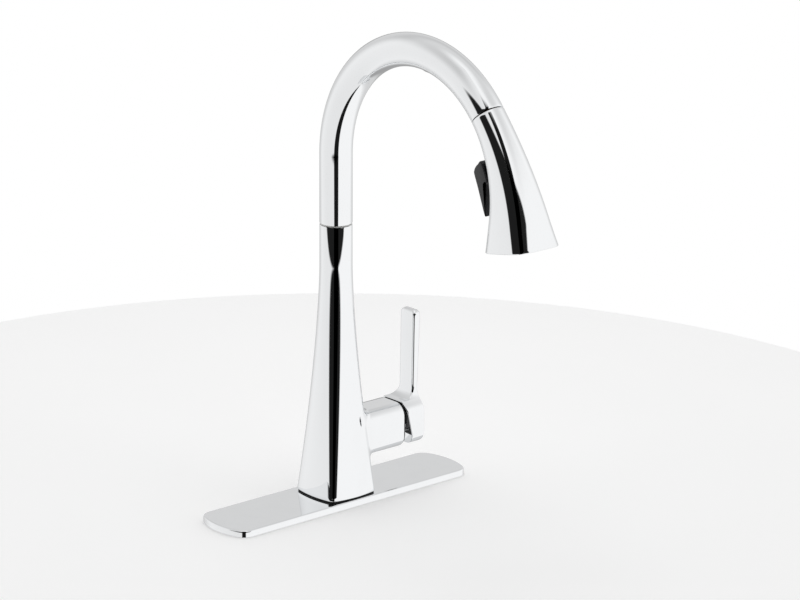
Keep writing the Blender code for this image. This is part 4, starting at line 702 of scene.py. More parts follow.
def handle_rings():
    """Level sections of the handle, each a rectangle with small round corners. Going up,
    its half width follows the cap's round corner, a curve in to the lever's side, and
    the lever's round tip. Its inner face follows the slanted rim, steps in over the cap's
    top, and follows a cove and the leaning lever. Its outer face leans out to the tip."""
    quarter = np.linspace(0, math.pi / 2, 17)
    top, high = LEVER_TOP - BOSS_HEIGHT, BOSS_HALF_Z
    flat_y, flat_z = BOSS_HALF_Y - BOSS_CORNER, BOSS_HALF_Z - BOSS_CORNER
    low_arc = np.column_stack((-flat_z - BOSS_CORNER * np.cos(quarter),
                               flat_y + BOSS_CORNER * np.sin(quarter)))
    turn = np.linspace(0, math.pi / 4, 9)
    high_arc = np.column_stack((flat_z + BOSS_CORNER * np.sin(turn),
                                flat_y + BOSS_CORNER * np.cos(turn)))
    start = high_arc[-1]
    bend = np.array((start[0] + start[1] - LEVER_HALF, LEVER_HALF))
    end = np.array((high + LEVER_NECK, LEVER_HALF))
    t = np.linspace(0, 1, 13)[1:, None]
    curve = (1 - t) ** 2 * start + 2 * t * (1 - t) * bend + t**2 * end
    tip_arc = np.column_stack((top - LEVER_ROUND + LEVER_ROUND * np.sin(quarter),
                               LEVER_HALF - LEVER_ROUND + LEVER_ROUND * np.cos(quarter)))
    width = np.vstack((low_arc, high_arc, curve, tip_arc))
    tip_inner = LEVER_INNER + LEVER_LEAN
    nose = min(LEVER_ROUND, 0.46 * (LEVER_OUTER - tip_inner))
    cove = np.column_stack((high + LEVER_FILLET * (1 - np.cos(quarter)),
                            LEVER_INNER - LEVER_FILLET + LEVER_FILLET * np.sin(quarter)))
    inner = np.vstack((cove, np.column_stack((top - nose + nose * np.sin(quarter),
                                              tip_inner + nose * (1 - np.cos(quarter))))))
    outer = np.vstack(([(-high, HANDLE_END), (high, HANDLE_END)],
                       np.column_stack((top - nose + nose * np.sin(quarter),
                                        LEVER_OUTER - nose * (1 - np.cos(quarter))))))
    rows = np.unique(np.concatenate((width[:, 0], inner[:, 0], outer[:, 0],
                                     np.linspace(high, top - LEVER_ROUND, 24))).round(7))
    rows = rows[(rows > -high + EDGE) & ((rows < high - EDGE / 2) | (rows > high + 1e-6))]
    cap = rows[rows < high]
    lever = rows[rows > high]
    levels = np.concatenate(([-high, -high + 0.3 * EDGE, -high + EDGE], cap,
                             [high - EDGE / 2, high - EDGE / 8, high, high], lever))
    rim = np.interp(levels, (-high, high), (RIM_FOOT, RIM_TOP))
    near = np.interp(levels, inner[:, 0], inner[:, 1])
    count = len(cap) + 3
    x_in = np.concatenate((rim[:count + 2], [rim[count + 2] + EDGE / 2], near[count + 3:]))
    x_in[count + 1] += EDGE / 8
    x_out = np.interp(levels, outer[:, 0], outer[:, 1])
    half = np.interp(levels, width[:, 0], width[:, 1])
    shrink = np.zeros(len(levels))
    shrink[:3] = EDGE * np.array((1.0, 0.3, 0.0))
    x_in, x_out, half = x_in + shrink, x_out - shrink, half - shrink
    soft = np.interp(levels, (high, high + LEVER_FILLET), (LEVER_FOOT_SOFT, LEVER_TIP_SOFT))
    corner = np.minimum(soft, 0.42 * np.minimum(2 * half, x_out - x_in))[:, None, None]
    sides = np.array([(1, 1), (-1, 1), (-1, -1), (1, -1)])[None, :, None, :]
    turn = (np.arange(4)[:, None] + np.linspace(0, 1, 7)[None, :]) * math.pi / 2
    arcs = np.stack((np.cos(turn), np.sin(turn)), -1)[None]
    middle = np.stack(((x_in + x_out) / 2, np.zeros(len(half))), -1)[:, None, None, :]
    size = np.stack(((x_out - x_in) / 2, half), -1)[:, None, None, :]
    flat = middle + sides * (size - corner[..., None]) + corner[..., None] * arcs
    flat = flat.reshape(len(levels), -1, 2)
    z = np.broadcast_to((BOSS_HEIGHT + levels)[:, None, None], (*flat.shape[:2], 1))
    return np.concatenate((flat, z), 2)


def make_handle():
    """The lever and its cap, hollow over the dome, with its socket and set screw hole."""
    handle = shell("handle_lever_fine", *skin(handle_rings()))
    hollow, turns = DOME_RADIUS + HANDLE_EASE, np.radians(np.linspace(-80, 85, 48))
    cut(handle, turned(valve_plane(PIVOT), [(hollow * math.sin(t), hollow * math.cos(t))
                                            for t in turns], 96))
    square = [(STEM_HALF, STEM_HALF), (-STEM_HALF, STEM_HALF), (-STEM_HALF, -STEM_HALF),
              (STEM_HALF, -STEM_HALF)]
    cut(handle, [valve_plane(x).ring(square) for x in (STEM_END + GAP - SOCKET_DEPTH,
                                                       STEM_END + GAP)])
    foot = BOSS_HEIGHT - BOSS_HALF_Z
    profile = ((foot - OUTSIDE, PLUG_BORE), (foot + PLUG_DEPTH, PLUG_BORE),
               (foot + PLUG_DEPTH, GRUB_BORE), (BOSS_HEIGHT - GRUB_STOP, GRUB_BORE))
    cut(handle, turned(level(0, GRUB_PLACE), profile, 32))
    finished(handle, "handle_lever", 30.0)


# Spout


def spout_plane(degrees):
    turn = math.radians(degrees)
    place = (0, ARC_RADIUS * (math.cos(turn) - 1), RISER_TOP + ARC_RADIUS * math.sin(turn))
    return bend_plane(place, degrees)


def make_spout():
    """The bent tube: a circle carried up the riser and round the arc, and back inside it.
    Its two ends are eased, and it is drilled for the vent plug and the set screw."""
    foot = bend_plane((0, 0, SPOUT_FOOT), 0)
    planes = [spout_plane(a) for a in np.linspace(0, ARC_ANGLE, 113)]
    dock = planes[-1]
    outer = [foot.ring(circle(SPOUT_RADIUS - EDGE, 96)),
             foot.ring(circle(SPOUT_RADIUS - EDGE / 4, 96), -EDGE / 4),
             foot.ring(circle(SPOUT_RADIUS, 96), -EDGE)]
    outer += [plane.ring(circle(SPOUT_RADIUS, 96)) for plane in planes[:-1]]
    outer += [dock.ring(circle(SPOUT_RADIUS - inset, 96), ahead)
              for inset, ahead in ((0, EDGE), (EDGE / 4, EDGE / 4), (EDGE, 0))]
    inner = [plane.ring(circle(SPOUT_BORE, 96)) for plane in [foot, *planes]]
    tube = shell("spout_tube_fine", *skin(outer + inner[::-1], closed=True))
    back = Plane((0, 0, SCREW_HOLE_PLACE), (0, 0, 1), (1, 0, 0))
    cut(tube, rod(back, SCREW_HOLE_START, SPOUT_RADIUS + OUTSIDE, SCREW_HOLE_RADIUS, 32))
    under = vent_plane()
    cut(tube, [under.ring(vent_outline(GAP), ahead) for ahead in (-OUTSIDE, OUTSIDE)])
    finished(tube, "spout_tube", 30.0)


def vent_plane():
    """Where the vent plug sits: on the inside of the bend, facing into the spout."""
    vent = spout_plane(VENT_ANGLE)
    return Plane(vent.ring([(0, SPOUT_BORE)])[0], vent.across, vent.facing)


def vent_outline(ease=0.0):
    half = VENT_HALF_WIDTH + ease
    return rounded_rectangle(half, VENT_HALF_LENGTH + ease, VENT_CORNER_SHARE * half)


def make_vent_plug():
    """A long rounded plug: its outline shrinks over a quarter round to a crowned face."""
    under = vent_plane()
    outline = vent_outline()
    top = (SPOUT_RADIUS - SPOUT_BORE + VENT_PROUD) * (-1 if under_faces_in(under) else 1)
    sign = math.copysign(1.0, top)
    rings = [under.ring(outline, -sign * VENT_SINK)]
    rings += [under.ring(outline * (1 - inset / VENT_HALF_WIDTH), top - sign * depth)
              for inset, depth in quarter_round(VENT_EDGE, 6)]
    finished(shell("spout_vent_plug_fine", *skin(rings)), "spout_vent_plug")


def under_faces_in(under):
    """Whether the vent plane's facing direction points to the middle of the tube."""
    middle = spout_plane(VENT_ANGLE).middle
    return float(np.dot(under.facing, middle - under.middle)) > 0


# Hose


def hose_line():
    """The hose's line and how far along it each point is: up the riser, round the arc, a
    cubic over to the spray head's line, and straight into its ferrule. Points are close
    together just behind the ferrule, where the stretch that pulls out is drawn from."""
    dock = spout_plane(ARC_ANGLE)
    straight = FERRULE_START + FERRULE_LENGTH + HOSE_LEAD
    entry, leave = dock.middle + dock.facing * straight, spout_plane(HOSE_LEAVE)
    points = [(0.0, 0.0, z) for z in np.linspace(HOSE_END, RISER_TOP, 60)]
    points += [spout_plane(a).middle for a in np.linspace(0, HOSE_LEAVE, 70)[1:]]
    span = np.linalg.norm(entry - leave.middle)
    t = np.linspace(0, 1, 24)[1:, None]
    points += list(leave.middle * (2 * t**3 - 3 * t**2 + 1) + entry * (3 * t**2 - 2 * t**3)
                   + span * (-leave.facing * (t**3 - 2 * t**2 + t)
                             - dock.facing * (t**3 - t**2)))
    drawn = np.linspace(straight - DRAWN_BEFORE,
                        FERRULE_START + FERRULE_LENGTH + DRAWN_AFTER, 160)
    last = FERRULE_START + HOSE_RADIUS / 2
    ends = np.concatenate((drawn, np.linspace(drawn[-1], last, 12)[1:]))
    points += [dock.middle + dock.facing * ahead for ahead in ends]
    points = np.array(points)
    along = np.concatenate(([0], np.cumsum(np.linalg.norm(np.diff(points, axis=0), axis=1))))
    start, end = (dock.middle + dock.facing * ahead for ahead in (drawn[0], drawn[-1]))
    share = np.clip((points - start) @ (end - start) / np.dot(end - start, end - start), 0, 1)
    share[:-len(ends)] = 0
    along += PULL * share**2 * (3 - 2 * share)
    return points, along, len(points) - len(ends), start, end


def hose_stretch(name, rings, along):
    """One closed stretch of the braided hose through these rings. Its map's u runs once
    round it, and v is how far along the pulled-out hose a ring is."""
    steps = rings.shape[1]
    points, faces = skin(rings)
    row, column = np.meshgrid(np.arange(len(rings) - 1), np.arange(steps) / steps,
                              indexing="ij")
    before = column - 1 / steps
    corners = np.stack((np.stack((column, along[row]), -1), np.stack((before, along[row]), -1),
                        np.stack((before, along[row + 1]), -1),
                        np.stack((column, along[row + 1]), -1)), 2)
    braid_map = np.zeros((sum(len(face) for face in faces), 2))
    braid_map[:corners.size // 2] = corners.reshape(-1, 2)
    return shell(name, points, faces, braid_map)


def make_hose():
    """The braided hose: a circle carried along its line, in two stretches. The first
    stays in the spout, and the second lengthens as the spray head is pulled out."""
    points, along, first, start, end = hose_line()
    tangent = np.gradient(points, axis=0)
    tangent /= np.linalg.norm(tangent, axis=1)[:, None]
    side = np.array((1.0, 0.0, 0.0))
    turn = angles(HOSE_STEPS)[None, :, None]
    rings = points[:, None] + HOSE_RADIUS * (np.cos(turn) * side
                                             + np.sin(turn) * np.cross(side, tangent)[:, None])
    still = hose_stretch("spray_hose_fine", rings[:first + 1], along[:first + 1])
    finished(still, "spray_hose")
    drawn = hose_stretch("spray_hose_drawn_fine", rings[first:], along[first:])
    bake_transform(drawn, "spout", "hose_end", start=tuple(start), end=tuple(end))
    finished(drawn, "spray_hose")


def make_ferrule():
    """The crimped sleeve on the hose's end: its radius drops by the upper half of a sine
    wave along it, which presses rings into it."""
    start, end = FERRULE_START, FERRULE_START + FERRULE_LENGTH
    ahead = np.linspace(start, end, 60)
    share = (ahead - start) / FERRULE_LENGTH
    wave = np.clip(np.sin(share * CRIMP_WAVES * math.pi), 0, 1)
    press = CRIMP_DEPTH * wave * (share > CRIMP_START)
    outer = np.column_stack((ahead, FERRULE_RADIUS - press))
    outer[[0, -1], 1] -= FERRULE_EDGE
    profile = [*outer, (end, HOSE_RADIUS + GAP), (start, HOSE_RADIUS + GAP)]
    rings = turned(spout_plane(ARC_ANGLE), profile, 64)
    finished(shell("hose_ferrule_fine", *skin(rings, closed=True)), "hose_ferrule")


# Spray head


def head_plane(along):
    """A plane square to the head's centreline, so far along it from the seam."""
    curved = HEAD_LENGTH - HEAD_STRAIGHT
    rate = math.radians(HEAD_ANGLE - ARC_ANGLE) / curved
    start = math.radians(ARC_ANGLE)
    turn = start + rate * min(along, curved)
    dock = spout_plane(ARC_ANGLE).middle
    rest = max(along - curved, 0.0)
    y = dock[1] + (math.cos(turn) - math.cos(start)) / rate - rest * math.sin(turn)
    z = dock[2] + (math.sin(turn) - math.sin(start)) / rate + rest * math.cos(turn)
    return bend_plane((0, y, z), math.degrees(turn))


def head_section(along, inset=0.0):
    limit = swollen_limit(HEAD_HALF, HEAD_SIDE_RADIUS, HEAD_CORNER)[1]
    share = np.clip(along / HEAD_LENGTH, 0, 1) ** HEAD_POWER
    return grown_square(section_directions(limit), share, HEAD_HALF, HEAD_SIDE_RADIUS,
                        HEAD_CORNER, inset)[0]


def head_ring(along, inset=0.0):
    return head_plane(along).ring(head_section(along, inset))


def make_spray_shell():
    """The spray head's cover: a section that grows from the spout's circle to a round
    square, carried along the curved centreline, with eased rims and the trigger window."""
    rim = 0.0008
    places = np.linspace(HEAD_SEAM + EDGE, HEAD_LENGTH - rim, 72)
    outer = [head_ring(HEAD_SEAM, EDGE), head_ring(HEAD_SEAM + EDGE / 4, EDGE / 4)]
    outer += [head_ring(s) for s in places]
    outer += [head_ring(HEAD_LENGTH - depth, inset) for inset, depth in quarter_round(rim)[1:]]
    inner = [head_ring(HEAD_LENGTH, HEAD_WALL - EDGE), head_ring(HEAD_LENGTH - EDGE, HEAD_WALL)]
    inner += [head_ring(s, HEAD_WALL)
              for s in np.linspace(HEAD_LENGTH - HEAD_WALL, HEAD_SEAM, 40)]
    cover = shell("spray_shell_fine", *skin(outer + inner, closed=True))
    middle = head_plane((WINDOW_START + WINDOW_END) / 2)
    outline = rounded_rectangle(ROOT_HALF + WINDOW_ROOM, (WINDOW_END - WINDOW_START) / 2,
                                0.0010, 6)
    window = Plane(middle.ring([(0, SPOUT_RADIUS)])[0], middle.across, middle.facing)
    cut(cover, [window.ring(outline, ahead) for ahead in (-OUTSIDE, OUTSIDE)])
    finished(cover, "spray_shell", 30.0)


def smooth_outline(points, steps):
    """A closed Catmull-Rom curve through the points."""
    points = np.asarray(points, float)
    p0, p1, p2, p3 = (np.roll(points, shift, 0)[:, None] for shift in (1, 0, -1, -2))
    t = (np.arange(steps) / steps)[None, :, None]
    curve = 0.5 * (2 * p1 + (p2 - p0) * t + (2 * p0 - 5 * p1 + 4 * p2 - p3) * t**2
                   + (3 * p1 - p0 - 3 * p2 + p3) * t**3)
    return curve.reshape(-1, 2)


def head_points(outline):
    """(y, z) of outline points given along the head and out past the spout's radius."""
    return np.array([head_plane(along).ring([(0, SPOUT_RADIUS + out)])[0][1:]
                     for along, out in outline])


def make_trigger():
    """The trigger: a smooth outline carried across the head, drawn in over a
    quarter round at both flanks, and the root that goes in to its pin."""
    side = Plane((0, 0, 0), (0, 1, 0), (0, 0, 1))
    outline = smooth_outline(head_points(BLADE_OUTLINE), 6)
    ahead, behind = np.roll(outline, -1, 0), np.roll(outline, 1, 0)
    along = (ahead - behind) / np.linalg.norm(ahead - behind, axis=1)[:, None]
    area = np.sum(outline[:, 0] * ahead[:, 1] - outline[:, 1] * ahead[:, 0])
    inward = np.column_stack((-along[:, 1], along[:, 0])) * math.copysign(1, area)
    soft = [(inset, TRIGGER_HALF - depth) for inset, depth in quarter_round(TRIGGER_EDGE, 5)]
    rings = [side.ring(outline + inward * inset, -place) for inset, place in soft[::-1]]
    rings += [side.ring(outline + inward * inset, place) for inset, place in soft]
    trigger = shell("spray_trigger_fine", *skin(rings))
    root = head_points(ROOT_OUTLINE)
    join(trigger, [side.ring(root, place) for place in (-ROOT_HALF, ROOT_HALF)])
    lug = head_plane(PIVOT_ALONG)
    pin = Plane(lug.ring([(0, SPOUT_RADIUS + PIVOT_OUT)])[0], lug.up, lug.facing)
    cut(trigger, rod(pin, -HEAD_HALF, HEAD_HALF, PIN_HOLE, 24))
    finished(trigger, "spray_trigger", 40.0)


def make_outlet():
    """The face plate, the silicone mat with its nozzles, the aerator and its mesh."""
    outlet = head_plane(HEAD_LENGTH)
    face_end = HEAD_LENGTH - FACE_RECESS
    face_start = face_end - FACE_THICKNESS
    mat_end = face_start - GAP
    mat_start = mat_end - MAT_THICKNESS
    room = HEAD_WALL + CORE_GAP

    def nozzles(start, end, radius, tip):
        profile = [(HEAD_LENGTH - start, radius), (HEAD_LENGTH - end, tip)]
        skins = []
        for ring_radius, count in NOZZLE_RINGS:
            for turn in (np.arange(count) + 0.5) * 2 * math.pi / count:
                place = outlet.moved(ring_radius * math.cos(turn), ring_radius * math.sin(turn))
                skins.append(skin(turned(place, profile, 16)))
        return merged("nozzles", skins)

    def plate(name, section_at, places):
        return shell(name, *skin([head_plane(s).ring(head_section(section_at, room + inset))
                                  for s, inset in places]))

    mat = plate("nozzle_mat_fine", mat_start, ((mat_start, 0), (mat_end, 0)))
    combine(mat, nozzles(mat_end - MAT_THICKNESS / 2, face_end + NOZZLE_PROUD, NOZZLE_RADIUS,
                         NOZZLE_RADIUS * NOZZLE_TAPER), "UNION")
    face = plate("spray_face_fine", face_start, (
        (face_start, 0), (face_end - EDGE, 0), (face_end - EDGE / 4, EDGE / 4),
        (face_end, EDGE)))
    hole = NOZZLE_RADIUS + SLIDE_GAP
    combine(face, nozzles(face_start - OUTSIDE, face_end + OUTSIDE, hole, hole), "DIFFERENCE")
    for piece in (mat, face):
        cut(piece, rod(outlet, -OUTSIDE, OUTLET_REACH, AERATOR_RADIUS + GAP, 64))
    finished(mat, "nozzle_mat")
    finished(face, "spray_face")
    bore = AERATOR_RADIUS - AERATOR_WALL
    profile = tube_profile(FACE_RECESS - AERATOR_PROUD, AERATOR_LENGTH, AERATOR_RADIUS, bore)
    ringed("aerator_housing", outlet, profile, AERATOR_EASE)
    make_screen(outlet, bore - GAP)


def make_screen(outlet, radius):
    """Woven mesh: wires across and along the disc, each a thin tube whose middle waves
    over and under the wires that it crosses."""
    spacing, wire, steps, round_ = MESH_SPACING, WIRE_RADIUS, 40, 6
    count = int(radius / spacing)
    middle = SCREEN_PLACE + SCREEN_THICKNESS / 2
    skins = []
    for number in range(-count, count + 1):
        offset = number * spacing
        half = math.sqrt(radius**2 - offset**2) - wire
        if half < spacing:
            continue
        along = np.linspace(-half, half, steps)
        wave = wire * np.cos(math.pi * (along / spacing + number))
        turn = angles(round_)[None, :]
        aside = offset + wire * np.cos(turn) + np.zeros((steps, 1))
        for across, way in ((True, 1), (False, -1)):
            rise = middle + way * wave[:, None] + wire * np.sin(turn)
            run = np.broadcast_to(along[:, None], aside.shape)
            flat = np.stack((run, aside) if across else (aside, run), -1)
            rings = outlet.ring(flat) + rise[..., None] * outlet.facing
            skins.append(skin(rings))
    rim = [(SCREEN_PLACE, radius), (SCREEN_PLACE + SCREEN_THICKNESS, radius),
           (SCREEN_PLACE + SCREEN_THICKNESS, radius - SCREEN_RIM),
           (SCREEN_PLACE, radius - SCREEN_RIM)]
    skins.append(skin(turned(outlet, rim), closed=True))
    finished(merged("aerator_screen_fine", skins), "aerator_screen")


def make_dock():
    """The collar in the spout's end and the ring magnet behind it, with eased edges."""
    dock = spout_plane(ARC_ANGLE)
    for node, ease in (("dock_collar", 0.0004), ("dock_magnet", 0.0004),
                       ("docking_ring", 0.0003)):
        start, end, outer, inner = round_measure(node, dock)
        ringed(node, dock, tube_profile(start, end, outer, inner), ease)


def round_measure(node, plane):
    """Where a straight ring starts and ends ahead of a plane, and its two radii."""
    mesh = frame["nodes"][node].data
    co = np.zeros(len(mesh.vertices) * 3)
    mesh.vertices.foreach_get("co", co)
    offset = co.reshape(-1, 3) - plane.middle
    ahead = offset @ plane.facing
    radius = np.linalg.norm(offset - ahead[:, None] * plane.facing, axis=1)
    return ahead.min(), ahead.max(), radius.max(), radius.min()


# Below the deck


def thread(start, end, radius, steps=64, pitch=THREAD_PITCH, depth=THREAD_DEPTH):
    """(distance, radius round the turn) rows of a screw thread. The radius is a triangle
    wave of the distance along the screw less the turn, and runs out at both ends."""
    ahead = np.arange(start, end + pitch / 16, pitch / 8)
    ahead = np.linspace(start, end, len(ahead))
    phase = ahead[:, None] / pitch - angles(steps)[None, :] / (2 * math.pi)
    wave = np.clip(THREAD_GAIN * np.abs(2 * (phase % 1) - 1) - THREAD_FLAT, 0, 1)
    fade = np.clip(np.minimum(ahead - start, end - ahead) / pitch, 0, 1)[:, None]
    ends = np.clip(1 - np.minimum(ahead - start, end - ahead) / pitch, 0, 1)[:, None]
    return list(zip(ahead, radius - depth * (wave * fade + THREAD_END * ends)))


def hexagon(radius, steps=96):
    """The radius of a hexagon round the turn, with its corners just rounded off."""
    turn = angles(steps) % (math.pi / 3) - math.pi / 6
    flat = radius * math.cos(math.pi / 6)
    return np.minimum(flat / np.cos(turn), HEX_BLUNT * radius)


def hex_nut(start, end, radius):
    """Rows of a hexagon whose two ends are turned off to a shallow cone."""
    ahead = np.array((start, start + HEX_FIRST, start + HEX_SECOND,
                      end - HEX_SECOND, end - HEX_FIRST, end))
    turned_off = (HEX_FACE * radius - HEX_FACE_LESS
                  + np.minimum(ahead - start, end - ahead) * HEX_SLOPE)
    return [(a, np.minimum(hexagon(radius), limit)) for a, limit in zip(ahead, turned_off)]


def make_shank():
    """The threaded shank: a screw thread outside, up to the body, and a plain bore."""
    outer = thread(SHANK_END, 0.0, SHANK_RADIUS)
    outer += [(0.0006, np.full(64, SHANK_RADIUS)), (SHANK_TOP, np.full(64, SHANK_RADIUS))]
    inner = [(SHANK_TOP, np.full(64, SHANK_BORE)), (SHANK_END, np.full(64, SHANK_BORE))]
    rings = turned(level(0), outer + inner, 64)
    finished(shell("shank_fine", *skin(rings, closed=True)), "shank")


def make_mounting():
    """The two washers, the flanged nut and its two jack screws."""
    ground = level(0)
    for node in ("rubber_washer", "steel_washer"):
        ringed(node, ground, tube_profile(*round_measure(node, ground)), 0.0006)
    flange = NUT_TOP - NUT_FLANGE
    foot = NUT_TOP - NUT_HEIGHT
    flange_rows = [(flange, NUT_RADIUS - EDGE), (flange + EDGE / 3, NUT_RADIUS - EDGE / 4),
                   (flange + EDGE, NUT_RADIUS), (NUT_TOP - EDGE, NUT_RADIUS),
                   (NUT_TOP - EDGE / 3, NUT_RADIUS - EDGE / 4), (NUT_TOP, NUT_RADIUS - EDGE)]
    nut = shell("mounting_nut_fine", *skin(turned(ground, flange_rows, 96)))
    join(nut, turned(ground, hex_nut(foot, flange + NUT_FLANGE / 2, HEX_RADIUS), 96))
    cut(nut, rod(ground, foot - OUTSIDE, NUT_TOP + OUTSIDE, NUT_BORE, 64))
    for side in (1, -1):
        cut(nut, rod(level(0, side * JACK_PLACE), flange - OUTSIDE, NUT_TOP + OUTSIDE,
                     JACK_RADIUS + GAP, 32))
    finished(nut, "mounting_nut")
    for side, node in ((1, "jack_screw_right"), (-1, "jack_screw_left")):
        make_jack_screw(node, level(0, side * JACK_PLACE))


def make_jack_screw(node, plane):
    """A threaded screw with a round head and a slot across it."""
    foot = JACK_TIP - JACK_LENGTH
    low = foot - JACK_HEAD_LENGTH
    steps = 40
    rows = [(low, JACK_HEAD - 0.0006), (low + 0.0002, JACK_HEAD - 0.0002),
            (low + 0.0006, JACK_HEAD), (foot - 0.0003, JACK_HEAD), (foot, JACK_HEAD - 0.0003)]
    rows += thread(foot, JACK_TIP, JACK_RADIUS, steps, JACK_PITCH, JACK_THREAD)
    screw = shell(f"{node}_fine", *skin(turned(plane, rows, steps)))
    slot = rounded_rectangle(JACK_HEAD + OUTSIDE, JACK_SLOT_HALF, 0.0001, 2)
    cut(screw, [level(z, plane.middle[0]).ring(slot)
                for z in (low - OUTSIDE, low + JACK_SLOT_DEPTH)])
    finished(screw, node)


def make_plumbing():
    """The water tubes, and the fittings on their ends, each a hexagon nut with a round
    nose."""
    for stem in ("hot_inlet", "cold_inlet", "outlet"):
        low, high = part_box(f"{stem}_tube")
        plane = level(0, (low.x + high.x) / 2, (low.y + high.y) / 2)
        ringed(f"{stem}_tube", plane, tube_profile(low.z, high.z, TUBE_RADIUS,
                                                   TUBE_RADIUS - TUBE_WALL), 0.0002, 40)
        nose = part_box(f"{stem}_fitting")[0].z
        seat, head = nose + FITTING_SEAT * FITTING_LENGTH, nose + FITTING_LENGTH
        bore, water = TUBE_RADIUS + GAP, TUBE_RADIUS - TUBE_WALL
        rows = [(nose, FITTING_NOSE * FITTING_RADIUS),
                (nose + FITTING_EDGE, FITTING_NECK * FITTING_RADIUS),
                (seat, FITTING_NECK * FITTING_RADIUS), *hex_nut(seat, head, FITTING_RADIUS),
                (head, bore), (seat - GAP, bore), (seat - GAP, water), (nose, water)]
        rings = turned(plane, rows, 96)
        finished(shell(f"{stem}_fitting_fine", *skin(rings, closed=True)), f"{stem}_fitting")


def finish_cad_pieces():
    """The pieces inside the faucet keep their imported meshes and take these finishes."""
    for node, piece in frame["nodes"].items():
        if piece.hide_render:
            continue
        piece.data.materials.clear()
        piece.data.materials.append(MATERIALS[SLOT_OF[node]])


# Stage: floor, light and camera

DEGREES = 180 / math.pi
STRIP_TURN = 1.5  # where the dark strip stands, in degrees round from the camera
WALL_TURN, WALL_HALF_TURN = -6.0, 66.0
WALL_RISE, WALL_HALF_RISE = 10.0, 27.0
WALL_FADE = (0.86, 1.06)  # of the ellipse's squared half sizes
# Where each other part of the studio fades, in degrees round or up
STRIP_SIDE, STRIP_TOP = (13.5, 17.0), (48.0, 62.0)
LEFT_FROM, LEFT_TO = (-175.0, -60.0), (-20.0, 10.0)
SKY_FROM, SKY_TO, SKY_OFF = (18.0, 55.0), (60.0, 86.0), (20.0, 70.0)
BACK_OFF, BACK_TOP = (112.0, 150.0), (34.0, 55.0)
EDGE_OFF, EDGE_TOP = (158.0, 172.0), (2.0, 9.0)
# How much darker than white each part of the studio is
STRIP_DIM, WALL_DIM = 0.99, 0.985
LEFT_DIM, SKY_DIM, BACK_DIM, EDGE_DIM = 0.14, 0.27, 0.30, 0.45
LAMP_SIZE, LAMP_PLACE = 0.9, (0.1, 0.1, 1.5)
SENSOR_WIDTH = 36.0  # millimetres
NEAR, FAR = 0.05, 50.0


def camera_side(azimuth):
    """Level unit vectors from the object towards the camera, and to the camera's right."""
    turn = math.radians(azimuth)
    return (math.sin(turn), -math.cos(turn), 0.0), (math.cos(turn), math.sin(turn), 0.0)


def make_world(looks):
    """A pale studio: white all round, with a dark wall and a tall dark strip on the
    camera's side, pale grey to the left and high up, and opposite a grey wall with a
    darker foot. Their places are angles round the object, and so stay put when the view
    moves."""
    world = bpy.data.worlds.new("studio")
    bpy.context.scene.world = world
    world.use_nodes = True
    tree = world.node_tree
    tree.nodes.clear()
    shade = Shade(tree)
    way = shade.node("ShaderNodeTexCoord", output="Generated")
    front, right = camera_side(math.degrees(looks.camera_azimuth))

    def along(direction):
        return shade.node("ShaderNodeVectorMath", {0: way, 1: direction}, output="Value",
                          operation="DOT_PRODUCT")

    turn = shade.math("ARCTAN2", along(right), along(front)) * DEGREES
    rise = shade.math("ARCSINE", along((0.0, 0.0, 1.0))) * DEGREES
    off = abs(turn - STRIP_TURN)
    strip = (1.0 - off.step(*STRIP_SIDE)) * (1.0 - rise.step(*STRIP_TOP))
    across = (turn - WALL_TURN) * (1 / WALL_HALF_TURN)
    up = (rise - WALL_RISE) * (1 / WALL_HALF_RISE)
    wall = 1.0 - (across * across + up * up).step(*WALL_FADE)
    left = (1.0 - turn.step(*LEFT_TO)) * turn.step(*LEFT_FROM)
    sky = rise.step(*SKY_FROM) * (1.0 - rise.step(*SKY_TO)) * off.step(*SKY_OFF)
    back = off.step(*BACK_OFF) * (1.0 - rise.step(*BACK_TOP))
    edge = off.step(*EDGE_OFF) * (1.0 - rise.step(*EDGE_TOP))
    light = (1.0 - LEFT_DIM * left) * (1.0 - SKY_DIM * sky) * (1.0 - BACK_DIM * back)
    light = light * (1.0 - EDGE_DIM * edge) * (1.0 - STRIP_DIM * strip)
    light = light * (1.0 - WALL_DIM * wall)
    ray = shade.node("ShaderNodeLightPath", output="Is Camera Ray")
    light = ray + (1.0 - ray) * light
    lamp = shade.node("ShaderNodeBackground", {"Color": color(1.0, 1.0, 1.0),
                                               "Strength": light}, output="Background")
    out = tree.nodes.new("ShaderNodeOutputWorld")
    tree.links.new(lamp.socket, out.inputs["Surface"])


def make_stage():
    """The floor, one soft lamp overhead and the camera. The chrome reflects the studio,
    and neither the floor nor the lamp."""
    looks = settings()
    make_world(looks)
    steps = 96
    rings = [np.column_stack((circle(share * looks.floor_radius, steps), np.zeros(steps)))
             for share in (0.25, 0.6, 1.0)]
    vertices, faces = skin(rings)
    floor = shell("floor", vertices, faces[:-1])
    bpy.context.scene.view_settings.view_transform = "Standard"
    floor.data.materials.append(floor_finish())
    floor.visible_glossy = False
    lamp = bpy.data.lights.new("overhead", "AREA")
    lamp.shape = "DISK"
    lamp.size = LAMP_SIZE
    lamp.energy = looks.lamp_power
    lamp_object = bpy.data.objects.new("overhead", lamp)
    lamp_object.location = LAMP_PLACE
    lamp_object.visible_glossy = False
    bpy.context.scene.collection.objects.link(lamp_object)
    lens = bpy.data.cameras.new("camera")
    lens.lens = looks.lens
    lens.sensor_width = SENSOR_WIDTH
    lens.shift_x = looks.shift
    lens.clip_start, lens.clip_end = NEAR, FAR
    front, _ = camera_side(math.degrees(looks.camera_azimuth))
    rise = looks.camera_elevation
    back = Vector((front[0] * math.cos(rise), front[1] * math.cos(rise), math.sin(rise)))
    camera = bpy.data.objects.new("camera", lens)
    camera.location = Vector((0, 0, looks.target_height)) + looks.distance * back
    camera.rotation_euler = back.to_track_quat("Z", "Y").to_euler()
    bpy.context.scene.collection.objects.link(camera)
    bpy.context.scene.camera = camera


